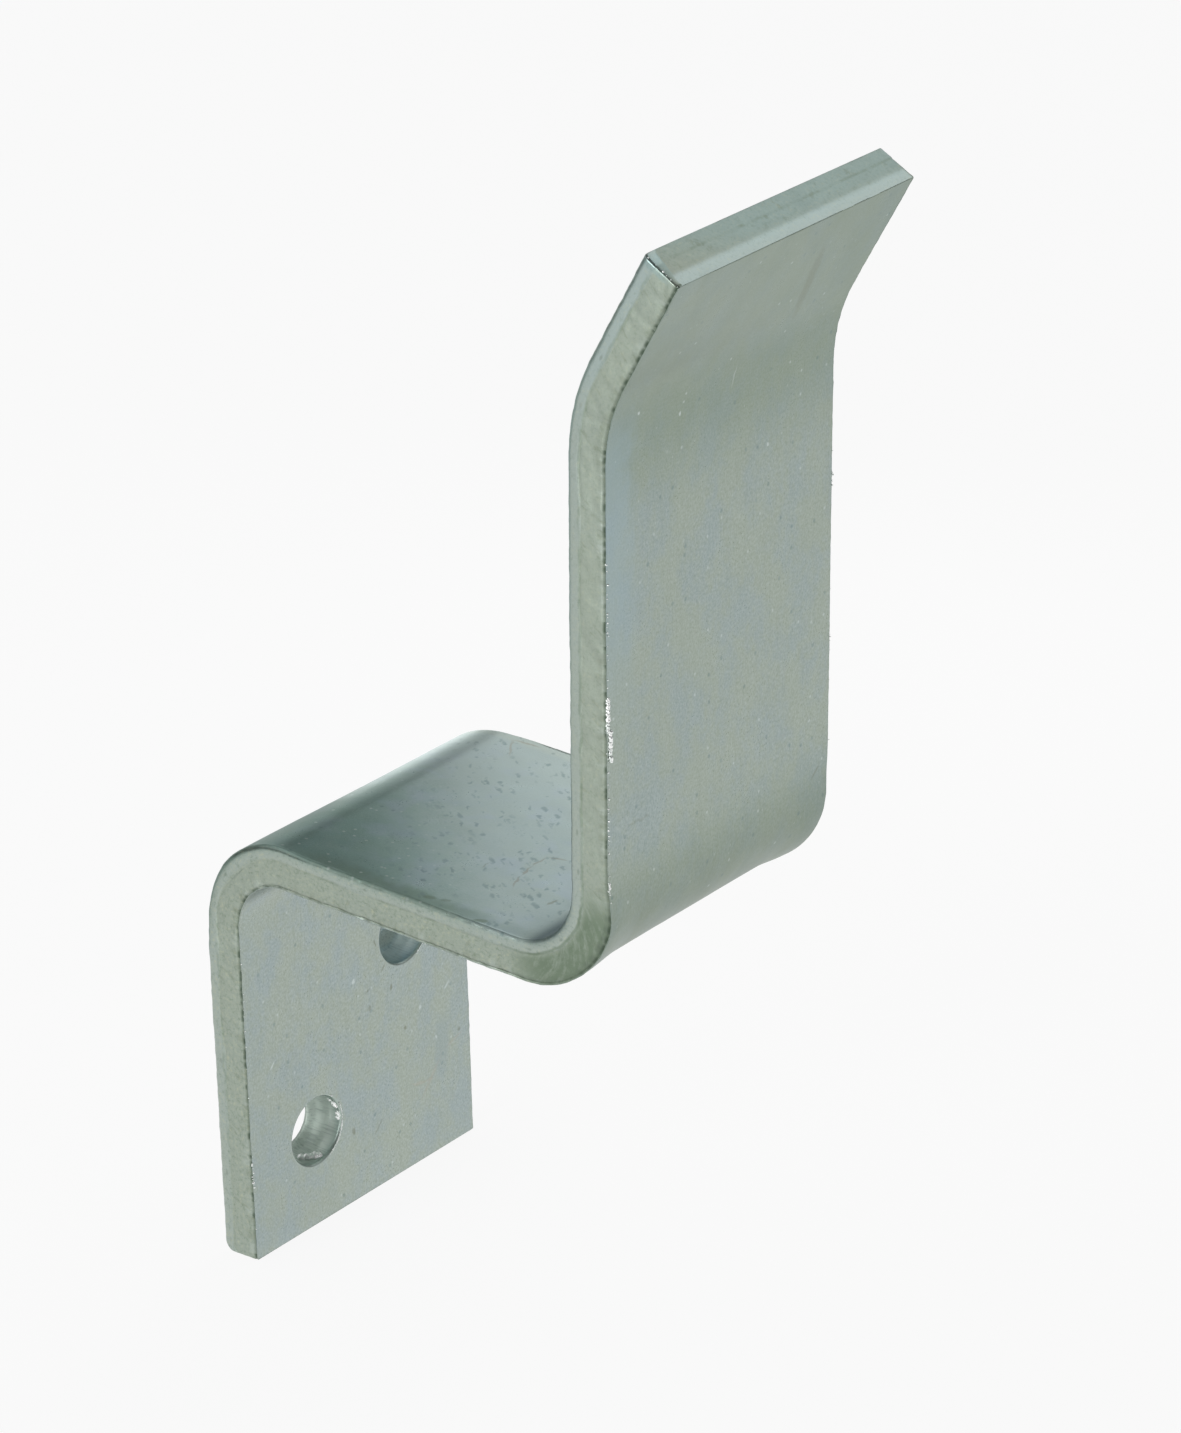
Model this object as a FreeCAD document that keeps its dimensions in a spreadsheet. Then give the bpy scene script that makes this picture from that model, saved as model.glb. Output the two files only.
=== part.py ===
"""Door bar bracket: one zinc-plated steel strip, punched twice and bent three times.

The strip starts as a plate that lies on the wall and carries two screw holes. It
turns outward into a shelf that the bar rests on, turns up into an upright that keeps
the bar in, and leans outward at the top as a lip that guides the bar in.

Frame, in millimetres: the wall is the plane y = 0, and the bracket stands out of it
towards -Y. +Z is up and +X runs along the bar. The origin lies on the wall, midway
between the two screw holes.

The side of the strip that meets the wall runs on as the top of the shelf and the face
of the upright that holds the bar. It is called the bar side here. The other side of
the strip is called the front.
"""
import FreeCAD
import Part
import enum
import math
import os
import Sketcher

# Driving dimensions. The plate's two heights run from midway between the holes, down to
# the foot and up to the shelf's corner. Legs run along the bar side between the sharp
# corners that the bends round off. Bend angles say how far the strip turns, in degrees.
# Rollovers are the rounded edges where the shear or the punch entered the metal.
DIMENSIONS = {
    "strip_width": 38.1,
    "thickness": 4.76,
    "hole_diameter": 8.1,
    "hole_run": 16.1,
    "hole_rise": 18.8,
    "lower_plate_height": 21.0,
    "seat_height": 32.0,
    "shelf_leg": 51.2,
    "upright_leg": 60.6,
    "lip_leg": 20.6,
    "shelf_bend_angle": 91.7,
    "upright_bend_angle": 90.6,
    "lip_bend_angle": 29.2,
    "shelf_bend_inner_radius": 6.8,
    "upright_bend_inner_radius": 7.6,
    "lip_bend_inner_radius": 18.3,
    "long_edge_rollover": 0.6,
    "foot_rollover": 1.2,
    "lip_end_rollover": 0.2,
    "hole_rim_rollover": 0.3,
}

# Distance below which a point counts as lying on a line
TOUCH = 1e-4


class Spot(enum.IntEnum):
    """The numbers by which a sketch knows the points of a line or an arc."""

    START = 1
    END = 2
    CENTRE = 3


class Axis(enum.IntEnum):
    """The numbers by which a sketch knows its own axes."""

    ACROSS = -1
    UP = -2


# The origin of a sketch is the start of its axis across
SKETCH_ORIGIN = (Axis.ACROSS, Spot.START)


def heading_vector(heading):
    """Return the unit vector in the sketch plane that points at an angle in radians."""
    return FreeCAD.Vector(math.cos(heading), math.sin(heading), 0)


class StripSide:
    """One side of the bent strip in the profile sketch: straight legs joined by arcs.

    It starts at the foot and goes up. Turns to the left are positive, in radians.
    """

    def __init__(self, sketch, foot, legs, turns, radii):
        self.sketch = sketch
        self.turns = turns
        self.lines = []
        self.arcs = []
        self.corners = [foot]
        heading = math.pi / 2
        before = 0.0
        for number, leg in enumerate(legs):
            ahead = heading_vector(heading)
            start = self.corners[-1] + ahead * before
            corner = self.corners[-1] + ahead * leg
            self.corners.append(corner)
            if number == len(turns):
                self.lines.append(sketch.addGeometry(Part.LineSegment(start, corner)))
                break
            turn = turns[number]
            before = radii[number] * math.tan(abs(turn) / 2)
            end = corner - ahead * before
            self.lines.append(sketch.addGeometry(Part.LineSegment(start, end)))
            self.add_arc(end, heading, turn, radii[number])
            heading += turn
        self.join_pieces()

    def add_arc(self, start, heading, turn, radius):
        """Add the arc of one bend, which leaves its start along the heading."""
        side = math.copysign(math.pi / 2, turn)
        centre = start + heading_vector(heading + side) * radius
        angles = sorted([heading - side, heading - side + turn])
        circle = Part.Circle(centre, FreeCAD.Vector(0, 0, 1), radius)
        self.arcs.append(self.sketch.addGeometry(Part.ArcOfCircle(circle, *angles)))

    def join_pieces(self):
        """Make each arc run smoothly into the legs on either side of it."""
        for number, arc in enumerate(self.arcs):
            ends = (Spot.START, Spot.END)
            first, last = ends if self.turns[number] > 0 else ends[::-1]
            before, after = self.lines[number], self.lines[number + 1]
            self.sketch.addConstraint(Sketcher.Constraint("Tangent", before, Spot.END, arc, first))
            self.sketch.addConstraint(Sketcher.Constraint("Tangent", arc, last, after, Spot.START))

    def edges(self):
        """Return the legs and arcs as edges in the sketch plane."""
        return [self.sketch.Geometry[index].toShape() for index in self.lines + self.arcs]


def make_sheet(doc):
    """Put every driving dimension in a spreadsheet cell with an alias."""
    sheet = doc.addObject("Spreadsheet::Sheet", "sizes")
    for row, (name, value) in enumerate(DIMENSIONS.items(), start=1):
        sheet.set(f"A{row}", name)
        sheet.set(f"B{row}", str(value))
        sheet.setAlias(f"B{row}", name)
    doc.recompute()
    return sheet


def new_sketch(body, name, role):
    """Start a sketch on one of the body's own origin planes."""
    plane = next(item for item in body.Origin.OriginFeatures if item.Role == role)
    sketch = body.newObject("Sketcher::SketchObject", name)
    sketch.AttachmentSupport = (plane, [""])
    sketch.MapMode = "FlatFace"
    return sketch


def bind(sketch, name, expression, kind, *targets):
    """Add a named dimension to a sketch and bind it to the sheet."""
    index = sketch.addConstraint(Sketcher.Constraint(kind, *targets))
    sketch.renameConstraint(index, name)
    sketch.setExpression(f"Constraints.{name}", expression)


def make_profile(body, sizes):
    """Draw the strip from the side, with y to the right and z up.

    Returns the sketch and the two sides of the strip.
    """
    sketch = new_sketch(body, "side_profile", "YZ_Plane")
    thickness = sizes.thickness
    legs = [
        sizes.lower_plate_height + sizes.seat_height,
        sizes.shelf_leg,
        sizes.upright_leg,
        sizes.lip_leg,
    ]
    turns = [
        math.radians(sizes.shelf_bend_angle),
        -math.radians(sizes.upright_bend_angle),
        math.radians(sizes.lip_bend_angle),
    ]
    bar_radii = [
        sizes.shelf_bend_inner_radius + thickness,
        sizes.upright_bend_inner_radius,
        sizes.lip_bend_inner_radius + thickness,
    ]
    # The front lies a thickness to the left of the bar side, so its legs are shorter at
    # a turn to the left and longer at a turn to the right
    losses = [0.0] + [thickness * math.tan(turn / 2) for turn in turns] + [0.0]
    front_legs = [leg - losses[i] - losses[i + 1] for i, leg in enumerate(legs)]
    front_radii = [
        radius - math.copysign(thickness, turn) for radius, turn in zip(bar_radii, turns)
    ]
    foot = FreeCAD.Vector(0, -sizes.lower_plate_height, 0)
    front_foot = foot - FreeCAD.Vector(thickness, 0, 0)
    bar_side = StripSide(sketch, foot, legs, turns, bar_radii)
    front = StripSide(sketch, front_foot, front_legs, turns, front_radii)
    close_ends(sketch, bar_side, front)
    size_bar_side(sketch, bar_side, bar_radii)
    size_front(sketch, bar_side, front, front_radii)
    return sketch, bar_side, front


def close_ends(sketch, bar_side, front):
    """Cut the strip off square at its foot and at the end of its lip."""
    ends = [(0, Spot.START, 0), (-1, Spot.END, -1)]
    for leg, end, corner in ends:
        cut_line = Part.LineSegment(bar_side.corners[corner], front.corners[corner])
        cut = sketch.addGeometry(cut_line)
        inner, outer = bar_side.lines[leg], front.lines[leg]
        sketch.addConstraint(Sketcher.Constraint("Coincident", cut, Spot.START, inner, end))
        sketch.addConstraint(Sketcher.Constraint("Coincident", cut, Spot.END, outer, end))
        sketch.addConstraint(Sketcher.Constraint("Perpendicular", cut, inner))


def size_bar_side(sketch, bar_side, radii):
    """Place the foot on the wall, and set the legs, turns and bends of the bar side."""
    lines = bar_side.lines
    plate = lines[0]
    sketch.addConstraint(Sketcher.Constraint("Vertical", plate))
    sketch.addConstraint(Sketcher.Constraint("PointOnObject", plate, Spot.START, Axis.UP))
    below = ("DistanceY", plate, Spot.START, *SKETCH_ORIGIN, -bar_side.corners[0].y)
    bind(sketch, "lower_plate_height", "sizes.lower_plate_height", *below)

    leg_sizes = {
        "plate_leg": "sizes.lower_plate_height + sizes.seat_height",
        "shelf_leg": "sizes.shelf_leg",
        "upright_leg": "sizes.upright_leg",
        "lip_leg": "sizes.lip_leg",
    }
    stops = [(plate, Spot.START)]
    for number, corner in enumerate(bar_side.corners[1:-1]):
        mark = sketch.addGeometry(Part.Point(corner), True)
        for line in lines[number:number + 2]:
            sketch.addConstraint(Sketcher.Constraint("PointOnObject", mark, Spot.START, line))
        stops.append((mark, Spot.START))
    stops.append((lines[-1], Spot.END))
    for number, (name, expression) in enumerate(leg_sizes.items()):
        length = bar_side.corners[number].distanceToPoint(bar_side.corners[number + 1])
        targets = (*stops[number], *stops[number + 1], length)
        bind(sketch, name, expression, "Distance", *targets)

    for number, name in enumerate(["shelf_bend", "upright_bend", "lip_bend"]):
        turn = bar_side.turns[number]
        arms = [(lines[number + 1], Spot.START), (lines[number], Spot.END)]
        if turn < 0:
            arms.reverse()
        inside_angle = math.pi - abs(turn)
        targets = (*arms[0], *arms[1], inside_angle)
        bind(sketch, f"{name}_angle", f"(180 - sizes.{name}_angle) * 1 deg", "Angle", *targets)
        wall = " + sizes.thickness" if turn > 0 else ""
        radius = f"sizes.{name}_inner_radius{wall}"
        bind(sketch, f"{name}_radius", radius, "Radius", bar_side.arcs[number], radii[number])


def size_front(sketch, bar_side, front, radii):
    """Keep the front one thickness from the bar side, round the same bend centres."""
    for number in (0, -1):
        ends = (front.lines[number], bar_side.lines[number])
        sketch.addConstraint(Sketcher.Constraint("Parallel", *ends))
    for number, name in enumerate(["shelf_bend", "upright_bend", "lip_bend"]):
        centres = (front.arcs[number], Spot.CENTRE, bar_side.arcs[number], Spot.CENTRE)
        sketch.addConstraint(Sketcher.Constraint("Coincident", *centres))
        wall = " + sizes.thickness" if front.turns[number] < 0 else ""
        radius = f"sizes.{name}_inner_radius{wall}"
        targets = ("Radius", front.arcs[number], radii[number])
        bind(sketch, f"{name}_front_radius", radius, *targets)


def make_holes(body, sizes):
    """Punch the two screw holes, one low towards -X and one high towards +X."""
    sketch = new_sketch(body, "hole_circles", "XZ_Plane")
    up = FreeCAD.Vector(0, 0, 1)
    for name, side in (("low", -1), ("high", 1)):
        centre = FreeCAD.Vector(side * sizes.hole_run / 2, side * sizes.hole_rise / 2, 0)
        circle = sketch.addGeometry(Part.Circle(centre, up, sizes.hole_diameter / 2))
        for axis, size, offset in (("X", "hole_run", centre.x), ("Y", "hole_rise", centre.y)):
            ends = [SKETCH_ORIGIN, (circle, Spot.CENTRE)]
            if side < 0:
                ends.reverse()
            targets = (f"Distance{axis}", *ends[0], *ends[1], abs(offset))
            bind(sketch, f"{name}_{size}", f"sizes.{size} / 2", *targets)
        diameter = ("Diameter", circle, sizes.hole_diameter)
        bind(sketch, f"{name}_diameter", "sizes.hole_diameter", *diameter)
    holes = body.newObject("PartDesign::Pocket", "screw_holes")
    holes.Profile = sketch
    holes.SideType = "Symmetric"
    holes.setExpression("Length", "4 * sizes.thickness")
    return holes


def round_edges(body, name, base, size, wanted):
    """Round the edges of the base feature that pass a test, by a radius of the sheet."""
    numbered = enumerate(base.Shape.Edges, start=1)
    chosen = [f"Edge{number}" for number, edge in numbered if wanted(edge)]
    if not chosen:
        raise RuntimeError(f"{name} found no edge")
    fillet = body.newObject("PartDesign::Fillet", name)
    fillet.Base = (base, chosen)
    fillet.setExpression("Radius", f"sizes.{size}")
    body.Document.recompute()
    return fillet


def middle_of(edge):
    """Return the point halfway along an edge."""
    return edge.valueAt((edge.FirstParameter + edge.LastParameter) / 2)


def runs_across_at(corner):
    """Return a test for the edge along X that a corner of the side profile stands for."""
    place = FreeCAD.Vector(0, corner.x, corner.y)
    return lambda edge: middle_of(edge).distanceToPoint(place) < TOUCH


def borders(side, half_width):
    """Return a test for the long edges that bound one side of the strip."""
    outline = Part.Compound(side.edges())

    def wanted(edge):
        spots = [middle_of(edge)] + [vertex.Point for vertex in edge.Vertexes]
        flat_spots = [Part.Vertex(spot.y, spot.z, 0) for spot in spots]
        at_border = all(abs(abs(spot.x) - half_width) < TOUCH for spot in spots)
        return at_border and all(outline.distToShape(spot)[0] < TOUCH for spot in flat_spots)

    return wanted


def rims_at(plane_y, radius):
    """Return a test for the rims of the screw holes in a plane of constant y."""
    def wanted(edge):
        if not isinstance(edge.Curve, Part.Circle):
            return False
        in_plane = abs(edge.Curve.Center.y - plane_y) < TOUCH
        return in_plane and abs(edge.Curve.Radius - radius) < TOUCH

    return wanted


def make_bracket(doc, sizes):
    """Build the whole bracket as one body."""
    body = doc.addObject("PartDesign::Body", "bracket")
    body.Label = "bracket"
    profile, bar_side, front = make_profile(body, sizes)
    strip = body.newObject("PartDesign::Pad", "bent_strip")
    strip.Profile = profile
    strip.SideType = "Symmetric"
    strip.setExpression("Length", "sizes.strip_width")
    holes = make_holes(body, sizes)
    doc.recompute()
    check_cut(strip, holes, sizes)

    half_width = sizes.strip_width / 2
    foot = runs_across_at(bar_side.corners[0])
    lip_end = runs_across_at(front.corners[-1])
    rims = rims_at(-sizes.thickness, sizes.hole_diameter / 2)
    shape = round_edges(body, "foot_edge", holes, "foot_rollover", foot)
    shape = round_edges(body, "lip_end_edge", shape, "lip_end_rollover", lip_end)
    long_edges = borders(bar_side, half_width)
    shape = round_edges(body, "long_edges", shape, "long_edge_rollover", long_edges)
    round_edges(body, "hole_rims", shape, "hole_rim_rollover", rims)
    return body


def check_cut(strip, holes, sizes):
    """Make sure that the punched holes took away two plugs of the plate."""
    plug = math.pi * (sizes.hole_diameter / 2) ** 2 * sizes.thickness
    removed = strip.Shape.Volume - holes.Shape.Volume
    if abs(removed - 2 * plug) > 0.01 * plug:
        raise RuntimeError(f"the holes took away {removed:.1f} mm3, not {2 * plug:.1f}")


def check_document(doc, bodies):
    """Stop if a feature failed, a sketch is loose or a body has no sound solid."""
    for item in doc.Objects:
        if {"Invalid", "Error"} & set(item.State):
            raise RuntimeError(f"{item.Name} failed: {item.State}")
        if item.TypeId == "Sketcher::SketchObject" and not item.FullyConstrained:
            raise RuntimeError(f"{item.Name} is not fully constrained")
    for body in bodies:
        shape = body.Shape
        if shape.isNull() or not shape.isValid() or len(shape.Solids) != 1:
            raise RuntimeError(f"{body.Label} has no sound solid")


def main():
    """Build the document and write each body to its own file."""
    doc = FreeCAD.newDocument("door_bar_bracket")
    sizes = make_sheet(doc)
    bodies = [make_bracket(doc, sizes)]
    doc.recompute()
    check_document(doc, bodies)
    os.makedirs("parts", exist_ok=True)
    for body in bodies:
        body.Shape.exportStep(f"parts/{body.Label}.step")
        box = body.Shape.optimalBoundingBox(False, False)
        print(f"{body.Label}: volume {body.Shape.Volume:.0f} mm3, faces {len(body.Shape.Faces)}")
        print(f"{box.XLength:.2f} wide, {box.YLength:.2f} deep, {box.ZLength:.2f} high")


main()
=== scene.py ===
"""Door bar bracket: the fine form and the finish of a sheared, bent and zinc-plated strip.

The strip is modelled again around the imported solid, with what shears, punches and
presses leave on such a part: rolled edges where the blade went in, a smooth band, a
torn band and a burr where it came out, edges drawn in at the bends, small dents, and
bores with the same bands. Sizes are millimetres and degrees until a mesh is written.

Along the strip, "place" is a vertex attribute of three lengths: across the strip,
along its mid-thickness line from the foot, and through it from the bar side. The
finish reads it, so that streaks and bands follow the metal round the bends.
"""
import logging
import math
from dataclasses import dataclass, field, replace
from enum import Enum

import bmesh
import bpy
import numpy as np
from mathutils import Matrix, Vector, noise


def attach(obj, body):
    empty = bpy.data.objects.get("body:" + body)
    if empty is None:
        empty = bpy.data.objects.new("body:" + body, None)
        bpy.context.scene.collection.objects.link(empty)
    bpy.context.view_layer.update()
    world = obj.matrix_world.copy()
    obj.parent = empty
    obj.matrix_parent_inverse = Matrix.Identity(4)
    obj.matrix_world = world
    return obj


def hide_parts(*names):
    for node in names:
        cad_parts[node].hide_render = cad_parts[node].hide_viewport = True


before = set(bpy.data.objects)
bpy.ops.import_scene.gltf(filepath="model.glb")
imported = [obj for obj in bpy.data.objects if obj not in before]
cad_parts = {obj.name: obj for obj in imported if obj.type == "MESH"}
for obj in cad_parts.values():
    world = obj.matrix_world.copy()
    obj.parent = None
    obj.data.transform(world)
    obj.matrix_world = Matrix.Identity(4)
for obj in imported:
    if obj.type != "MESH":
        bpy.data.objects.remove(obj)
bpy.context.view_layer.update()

METRES = 0.001
BODY = "root"
NODE = "bracket"

Colour = tuple[float, float, float]

log = logging.getLogger("bracket")


class Zone(Enum):
    """What left its mark on a stretch of the surface, as the name of a vertex attribute."""

    SHEARED = "sheared"
    BURNISHED = "burnished"
    TORN = "torn"
    LEDGE = "ledge"
    STRETCHED = "stretched"
    FOLDED = "folded"
    BORE = "bore"


Rows = list[tuple[float, float, dict[Zone, float]]]


@dataclass(frozen=True)
class Bend:
    """One bend of the strip.

    Args:
        turn: How far the strip turns, in degrees, positive towards the bar side.
        inner_radius: Radius of the side that is squeezed.
    """

    turn: float
    inner_radius: float


@dataclass(frozen=True)
class StripSizes:
    """Driving sizes of the strip. Legs run along the bar side between sharp corners."""

    width: float = 38.1
    thickness: float = 4.76
    foot_height: float = -21.0
    legs: tuple[float, ...] = (53.0, 51.2, 60.6, 20.6)
    bends: tuple[Bend, ...] = (Bend(-91.7, 6.8), Bend(90.6, 7.6), Bend(-29.2, 18.3))
    hole_diameter: float = 8.1
    hole_centres: tuple[tuple[float, float], ...] = ((-8.05, -9.4), (8.05, 9.4))


def ease(value: np.ndarray | float) -> np.ndarray:
    """Smooth step from 0 to 1 for values from 0 to 1, flat outside."""
    held = np.clip(value, 0.0, 1.0)
    return held * held * (3.0 - 2.0 * held)


def quarter_round(distance: np.ndarray, run: float, drop: float) -> np.ndarray:
    """Return how far a rounded edge has dropped at a distance from its end.

    Args:
        distance: Distances from the end of the piece, in millimetres.
        run: Length of the rounding along the piece.
        drop: Depth of the rounding at the very end.

    Returns:
        The drop at each distance, 0 beyond the run.
    """
    part = np.clip(1.0 - distance / run, 0.0, 1.0)
    return drop * (1.0 - np.sqrt(1.0 - part * part))


def spread(start: float, end: float, pitch: float) -> list[float]:
    """Return even steps from start up to, and without, end, about a pitch apart."""
    count = max(1, round((end - start) / pitch))
    return [start + (end - start) * step / count for step in range(count)]


class StripPath:
    """The bar side's line through legs and bends, cut into stations.

    Every station has the bar side's point, the heading there and the length along the
    middle of the thickness from the foot.
    """

    PITCH = 0.45
    END_STEPS = (0.0, 0.04, 0.1, 0.2, 0.34, 0.52, 0.75, 1.0, 1.25)

    def __init__(self, sizes: StripSizes, hole_rows: list[float]) -> None:
        """Lay out the stations.

        Args:
            sizes: Sizes of the strip.
            hole_rows: Heights above the foot at which the hole patches need a station.
        """
        self.sizes = sizes
        self.out = []
        self.up = []
        self.heading = []
        self.length = []
        self.bend_middles = []
        self.bend_halves = []
        self._lay(hole_rows)
        for name in ("out", "up", "heading", "length"):
            setattr(self, name, np.array(getattr(self, name)))

    def _lay(self, hole_rows: list[float]) -> None:
        """Walk along the legs and bends and note the stations."""
        sizes = self.sizes
        point = np.array([0.0, sizes.foot_height])
        heading = math.pi / 2
        length = 0.0
        setbacks = [self._bar_radius(bend) * math.tan(math.radians(abs(bend.turn)) / 2)
                    for bend in sizes.bends]
        for number, leg in enumerate(sizes.legs):
            before = setbacks[number - 1] if number else 0.0
            last = number == len(sizes.bends)
            run = leg - before - (0.0 if last else setbacks[number])
            steps = self._leg_steps(number, run, hole_rows)
            ahead = np.array([math.cos(heading), math.sin(heading)])
            for step in steps:
                self._note(point + ahead * step, heading, length + step)
            point = point + ahead * run
            length += run
            if last:
                self._note(point, heading, length)
                break
            point, heading, length = self._bend(sizes.bends[number], point, heading, length)

    def _leg_steps(self, number: int, run: float, hole_rows: list[float]) -> list[float]:
        """Return the steps of one leg, finer at the foot and at the lip's end."""
        fine = self.END_STEPS
        if number == 0:
            marks = [fine[-1], *hole_rows, run]
            steps = list(fine[:-1])
            for start, end in zip(marks, marks[1:]):
                steps += spread(start, end, self.PITCH)
            return steps
        if number == len(self.sizes.bends):
            return spread(0.0, run - fine[-1], self.PITCH) + [run - step for step in fine[:0:-1]]
        return spread(0.0, run, self.PITCH)

    def _bend(self, bend: Bend, point: np.ndarray, heading: float,
              length: float) -> tuple[np.ndarray, float, float]:
        """Walk round one bend and return where it ends, the new heading and the length."""
        turn = math.radians(bend.turn)
        radius = self._bar_radius(bend)
        side = math.copysign(math.pi / 2, turn)
        centre = point + radius * np.array([math.cos(heading + side), math.sin(heading + side)])
        middle_radius = bend.inner_radius + self.sizes.thickness / 2
        outer = bend.inner_radius + self.sizes.thickness
        count = math.ceil(outer * abs(turn) / self.PITCH)
        for step in range(count):
            turned = turn * step / count
            angle = heading + turned - side
            spot = centre + radius * np.array([math.cos(angle), math.sin(angle)])
            self._note(spot, heading + turned, length + middle_radius * abs(turned))
        half = middle_radius * abs(turn) / 2
        self.bend_middles.append(length + half)
        self.bend_halves.append(half)
        angle = heading + turn - side
        end = centre + radius * np.array([math.cos(angle), math.sin(angle)])
        return end, heading + turn, length + 2 * half

    def _bar_radius(self, bend: Bend) -> float:
        """Return the radius of a bend on the bar side."""
        return bend.inner_radius + (self.sizes.thickness if bend.turn < 0 else 0.0)

    def _note(self, point: np.ndarray, heading: float, length: float) -> None:
        """Add one station."""
        self.out.append(point[0])
        self.up.append(point[1])
        self.heading.append(heading)
        self.length.append(length)

    @property
    def total(self) -> float:
        """Length of the strip along the middle of its thickness."""
        return float(self.length[-1])

    def near_bend(self, number: int, margin: float = 4.0) -> np.ndarray:
        """Return 1 in a bend, falling to 0 over a margin on either side."""
        away = np.abs(self.length - self.bend_middles[number]) - self.bend_halves[number] * 0.55
        return ease(1.0 - away / (self.bend_halves[number] * 0.45 + margin))

    def lift(self, across: np.ndarray, along: np.ndarray, depth: np.ndarray) -> np.ndarray:
        """Return points in the bracket's frame, in metres.

        Args:
            across: Distances across the strip, one row a station.
            along: Small distances ahead of each station.
            depth: Distances from the bar side towards the front.

        Returns:
            An array like the arguments, with a last axis of x, y and z.
        """
        heading = self.heading[:, None]
        out = self.out[:, None] + np.sin(heading) * depth + np.cos(heading) * along
        up = self.up[:, None] - np.cos(heading) * depth + np.sin(heading) * along
        return np.stack([across, -out, up], axis=-1) * METRES


def wander(places: np.ndarray, scale: float, seed: float) -> np.ndarray:
    """Return smooth noise from about -1 to 1 for points given as rows of three lengths."""
    shift = Vector((seed * 17.3, seed * 5.1, seed * 9.7))
    flat = places.reshape(-1, 3) / scale
    values = [noise.noise(Vector(row) + shift) for row in flat]
    return np.array(values).reshape(places.shape[:-1]) * 1.6


@dataclass(frozen=True)
class ShearMarks:
    """What the shear leaves on a long edge, from the bar side to the front.

    Args:
        roll_across: Width of the rolled edge where the blade went in.
        roll_depth: Depth of the rolled edge.
        smooth_to: Depth at which the smooth band ends.
        ledge: Step from the smooth band down to the torn one.
        torn_lean: How far the torn band leans in at the front.
        torn_rough: Height of the torn band's roughness.
        groove: Depth of the groove behind the burr.
        burr_height: Height of the burr on the front.
        burr_across: Width of the burr's foot on the front.
        front_round: Radius of a front edge that has no burr, or 0.
    """

    roll_across: float = 0.42
    roll_depth: float = 0.62
    smooth_to: float = 1.45
    ledge: float = 0.05
    torn_lean: float = 0.12
    torn_rough: float = 0.035
    groove: float = 0.16
    burr_height: float = 0.05
    burr_across: float = 0.3
    front_round: float = 0.0

    ROLL_STEPS = 6
    SMOOTH_STEPS = 4
    TORN_STEPS = 11

    @property
    def front_inset(self) -> float:
        """How far the front's flat lies inside the strip's width."""
        return self.torn_lean + (self.front_round or self.burr_across)

    def rails(self, thickness: float) -> Rows:
        """Return the section of a sheared edge.

        Args:
            thickness: Thickness of the strip.

        Returns:
            Rows of inset from the strip's width, depth from the bar side and zones.
        """
        rows = []
        for step in range(1, self.ROLL_STEPS + 1):
            part = step / self.ROLL_STEPS
            angle = math.pi / 2 * part
            rows.append((self.roll_across * (1 - math.sin(angle)),
                         self.roll_depth * (1 - math.cos(angle)),
                         {Zone.SHEARED: part, Zone.BURNISHED: part}))
        smooth = {Zone.SHEARED: 1.0, Zone.BURNISHED: 1.0}
        for step in range(1, self.SMOOTH_STEPS + 1):
            part = step / self.SMOOTH_STEPS
            rows.append((0.0, self.roll_depth + (self.smooth_to - self.roll_depth) * part, smooth))
        step_down = {Zone.SHEARED: 1.0, Zone.BURNISHED: 0.4, Zone.TORN: 0.6}
        torn = {Zone.SHEARED: 1.0, Zone.TORN: 1.0}
        rows.append((self.ledge * 0.6, self.smooth_to + 0.09, step_down))
        rows.append((self.ledge, self.smooth_to + 0.2, torn))
        start = self.smooth_to + 0.36
        end = thickness - 0.42
        for step in range(self.TORN_STEPS + 1):
            part = step / self.TORN_STEPS
            inset = self.ledge * 0.7 + (self.torn_lean - self.ledge * 0.7) * part
            rows.append((inset, start + (end - start) * part, torn))
        return rows + self._exit_rows(thickness)

    def _exit_rows(self, thickness: float) -> Rows:
        """Return the four rows at the front: a groove and a burr, or a rounded edge."""
        lean, radius = self.torn_lean, self.front_round
        edge = {Zone.SHEARED: 1.0, Zone.LEDGE: 1.0, Zone.TORN: 1.0}
        if radius:
            angles = [math.pi / 2 * step / 4 for step in range(4)]
            return [(lean + radius * (1 - math.cos(angle)),
                     thickness - radius * (1 - math.sin(angle)),
                     {Zone.SHEARED: 1 - step / 4, Zone.LEDGE: 0.4})
                    for step, angle in enumerate(angles)]
        return [(lean + self.groove * 0.8, thickness - 0.25, edge),
                (lean + self.groove, thickness - 0.14, edge),
                (lean + self.groove * 0.3, thickness - 0.03, {Zone.SHEARED: 0.6, Zone.LEDGE: 0.4}),
                (lean + 0.08, thickness + self.burr_height, {Zone.SHEARED: 0.2})]


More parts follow.
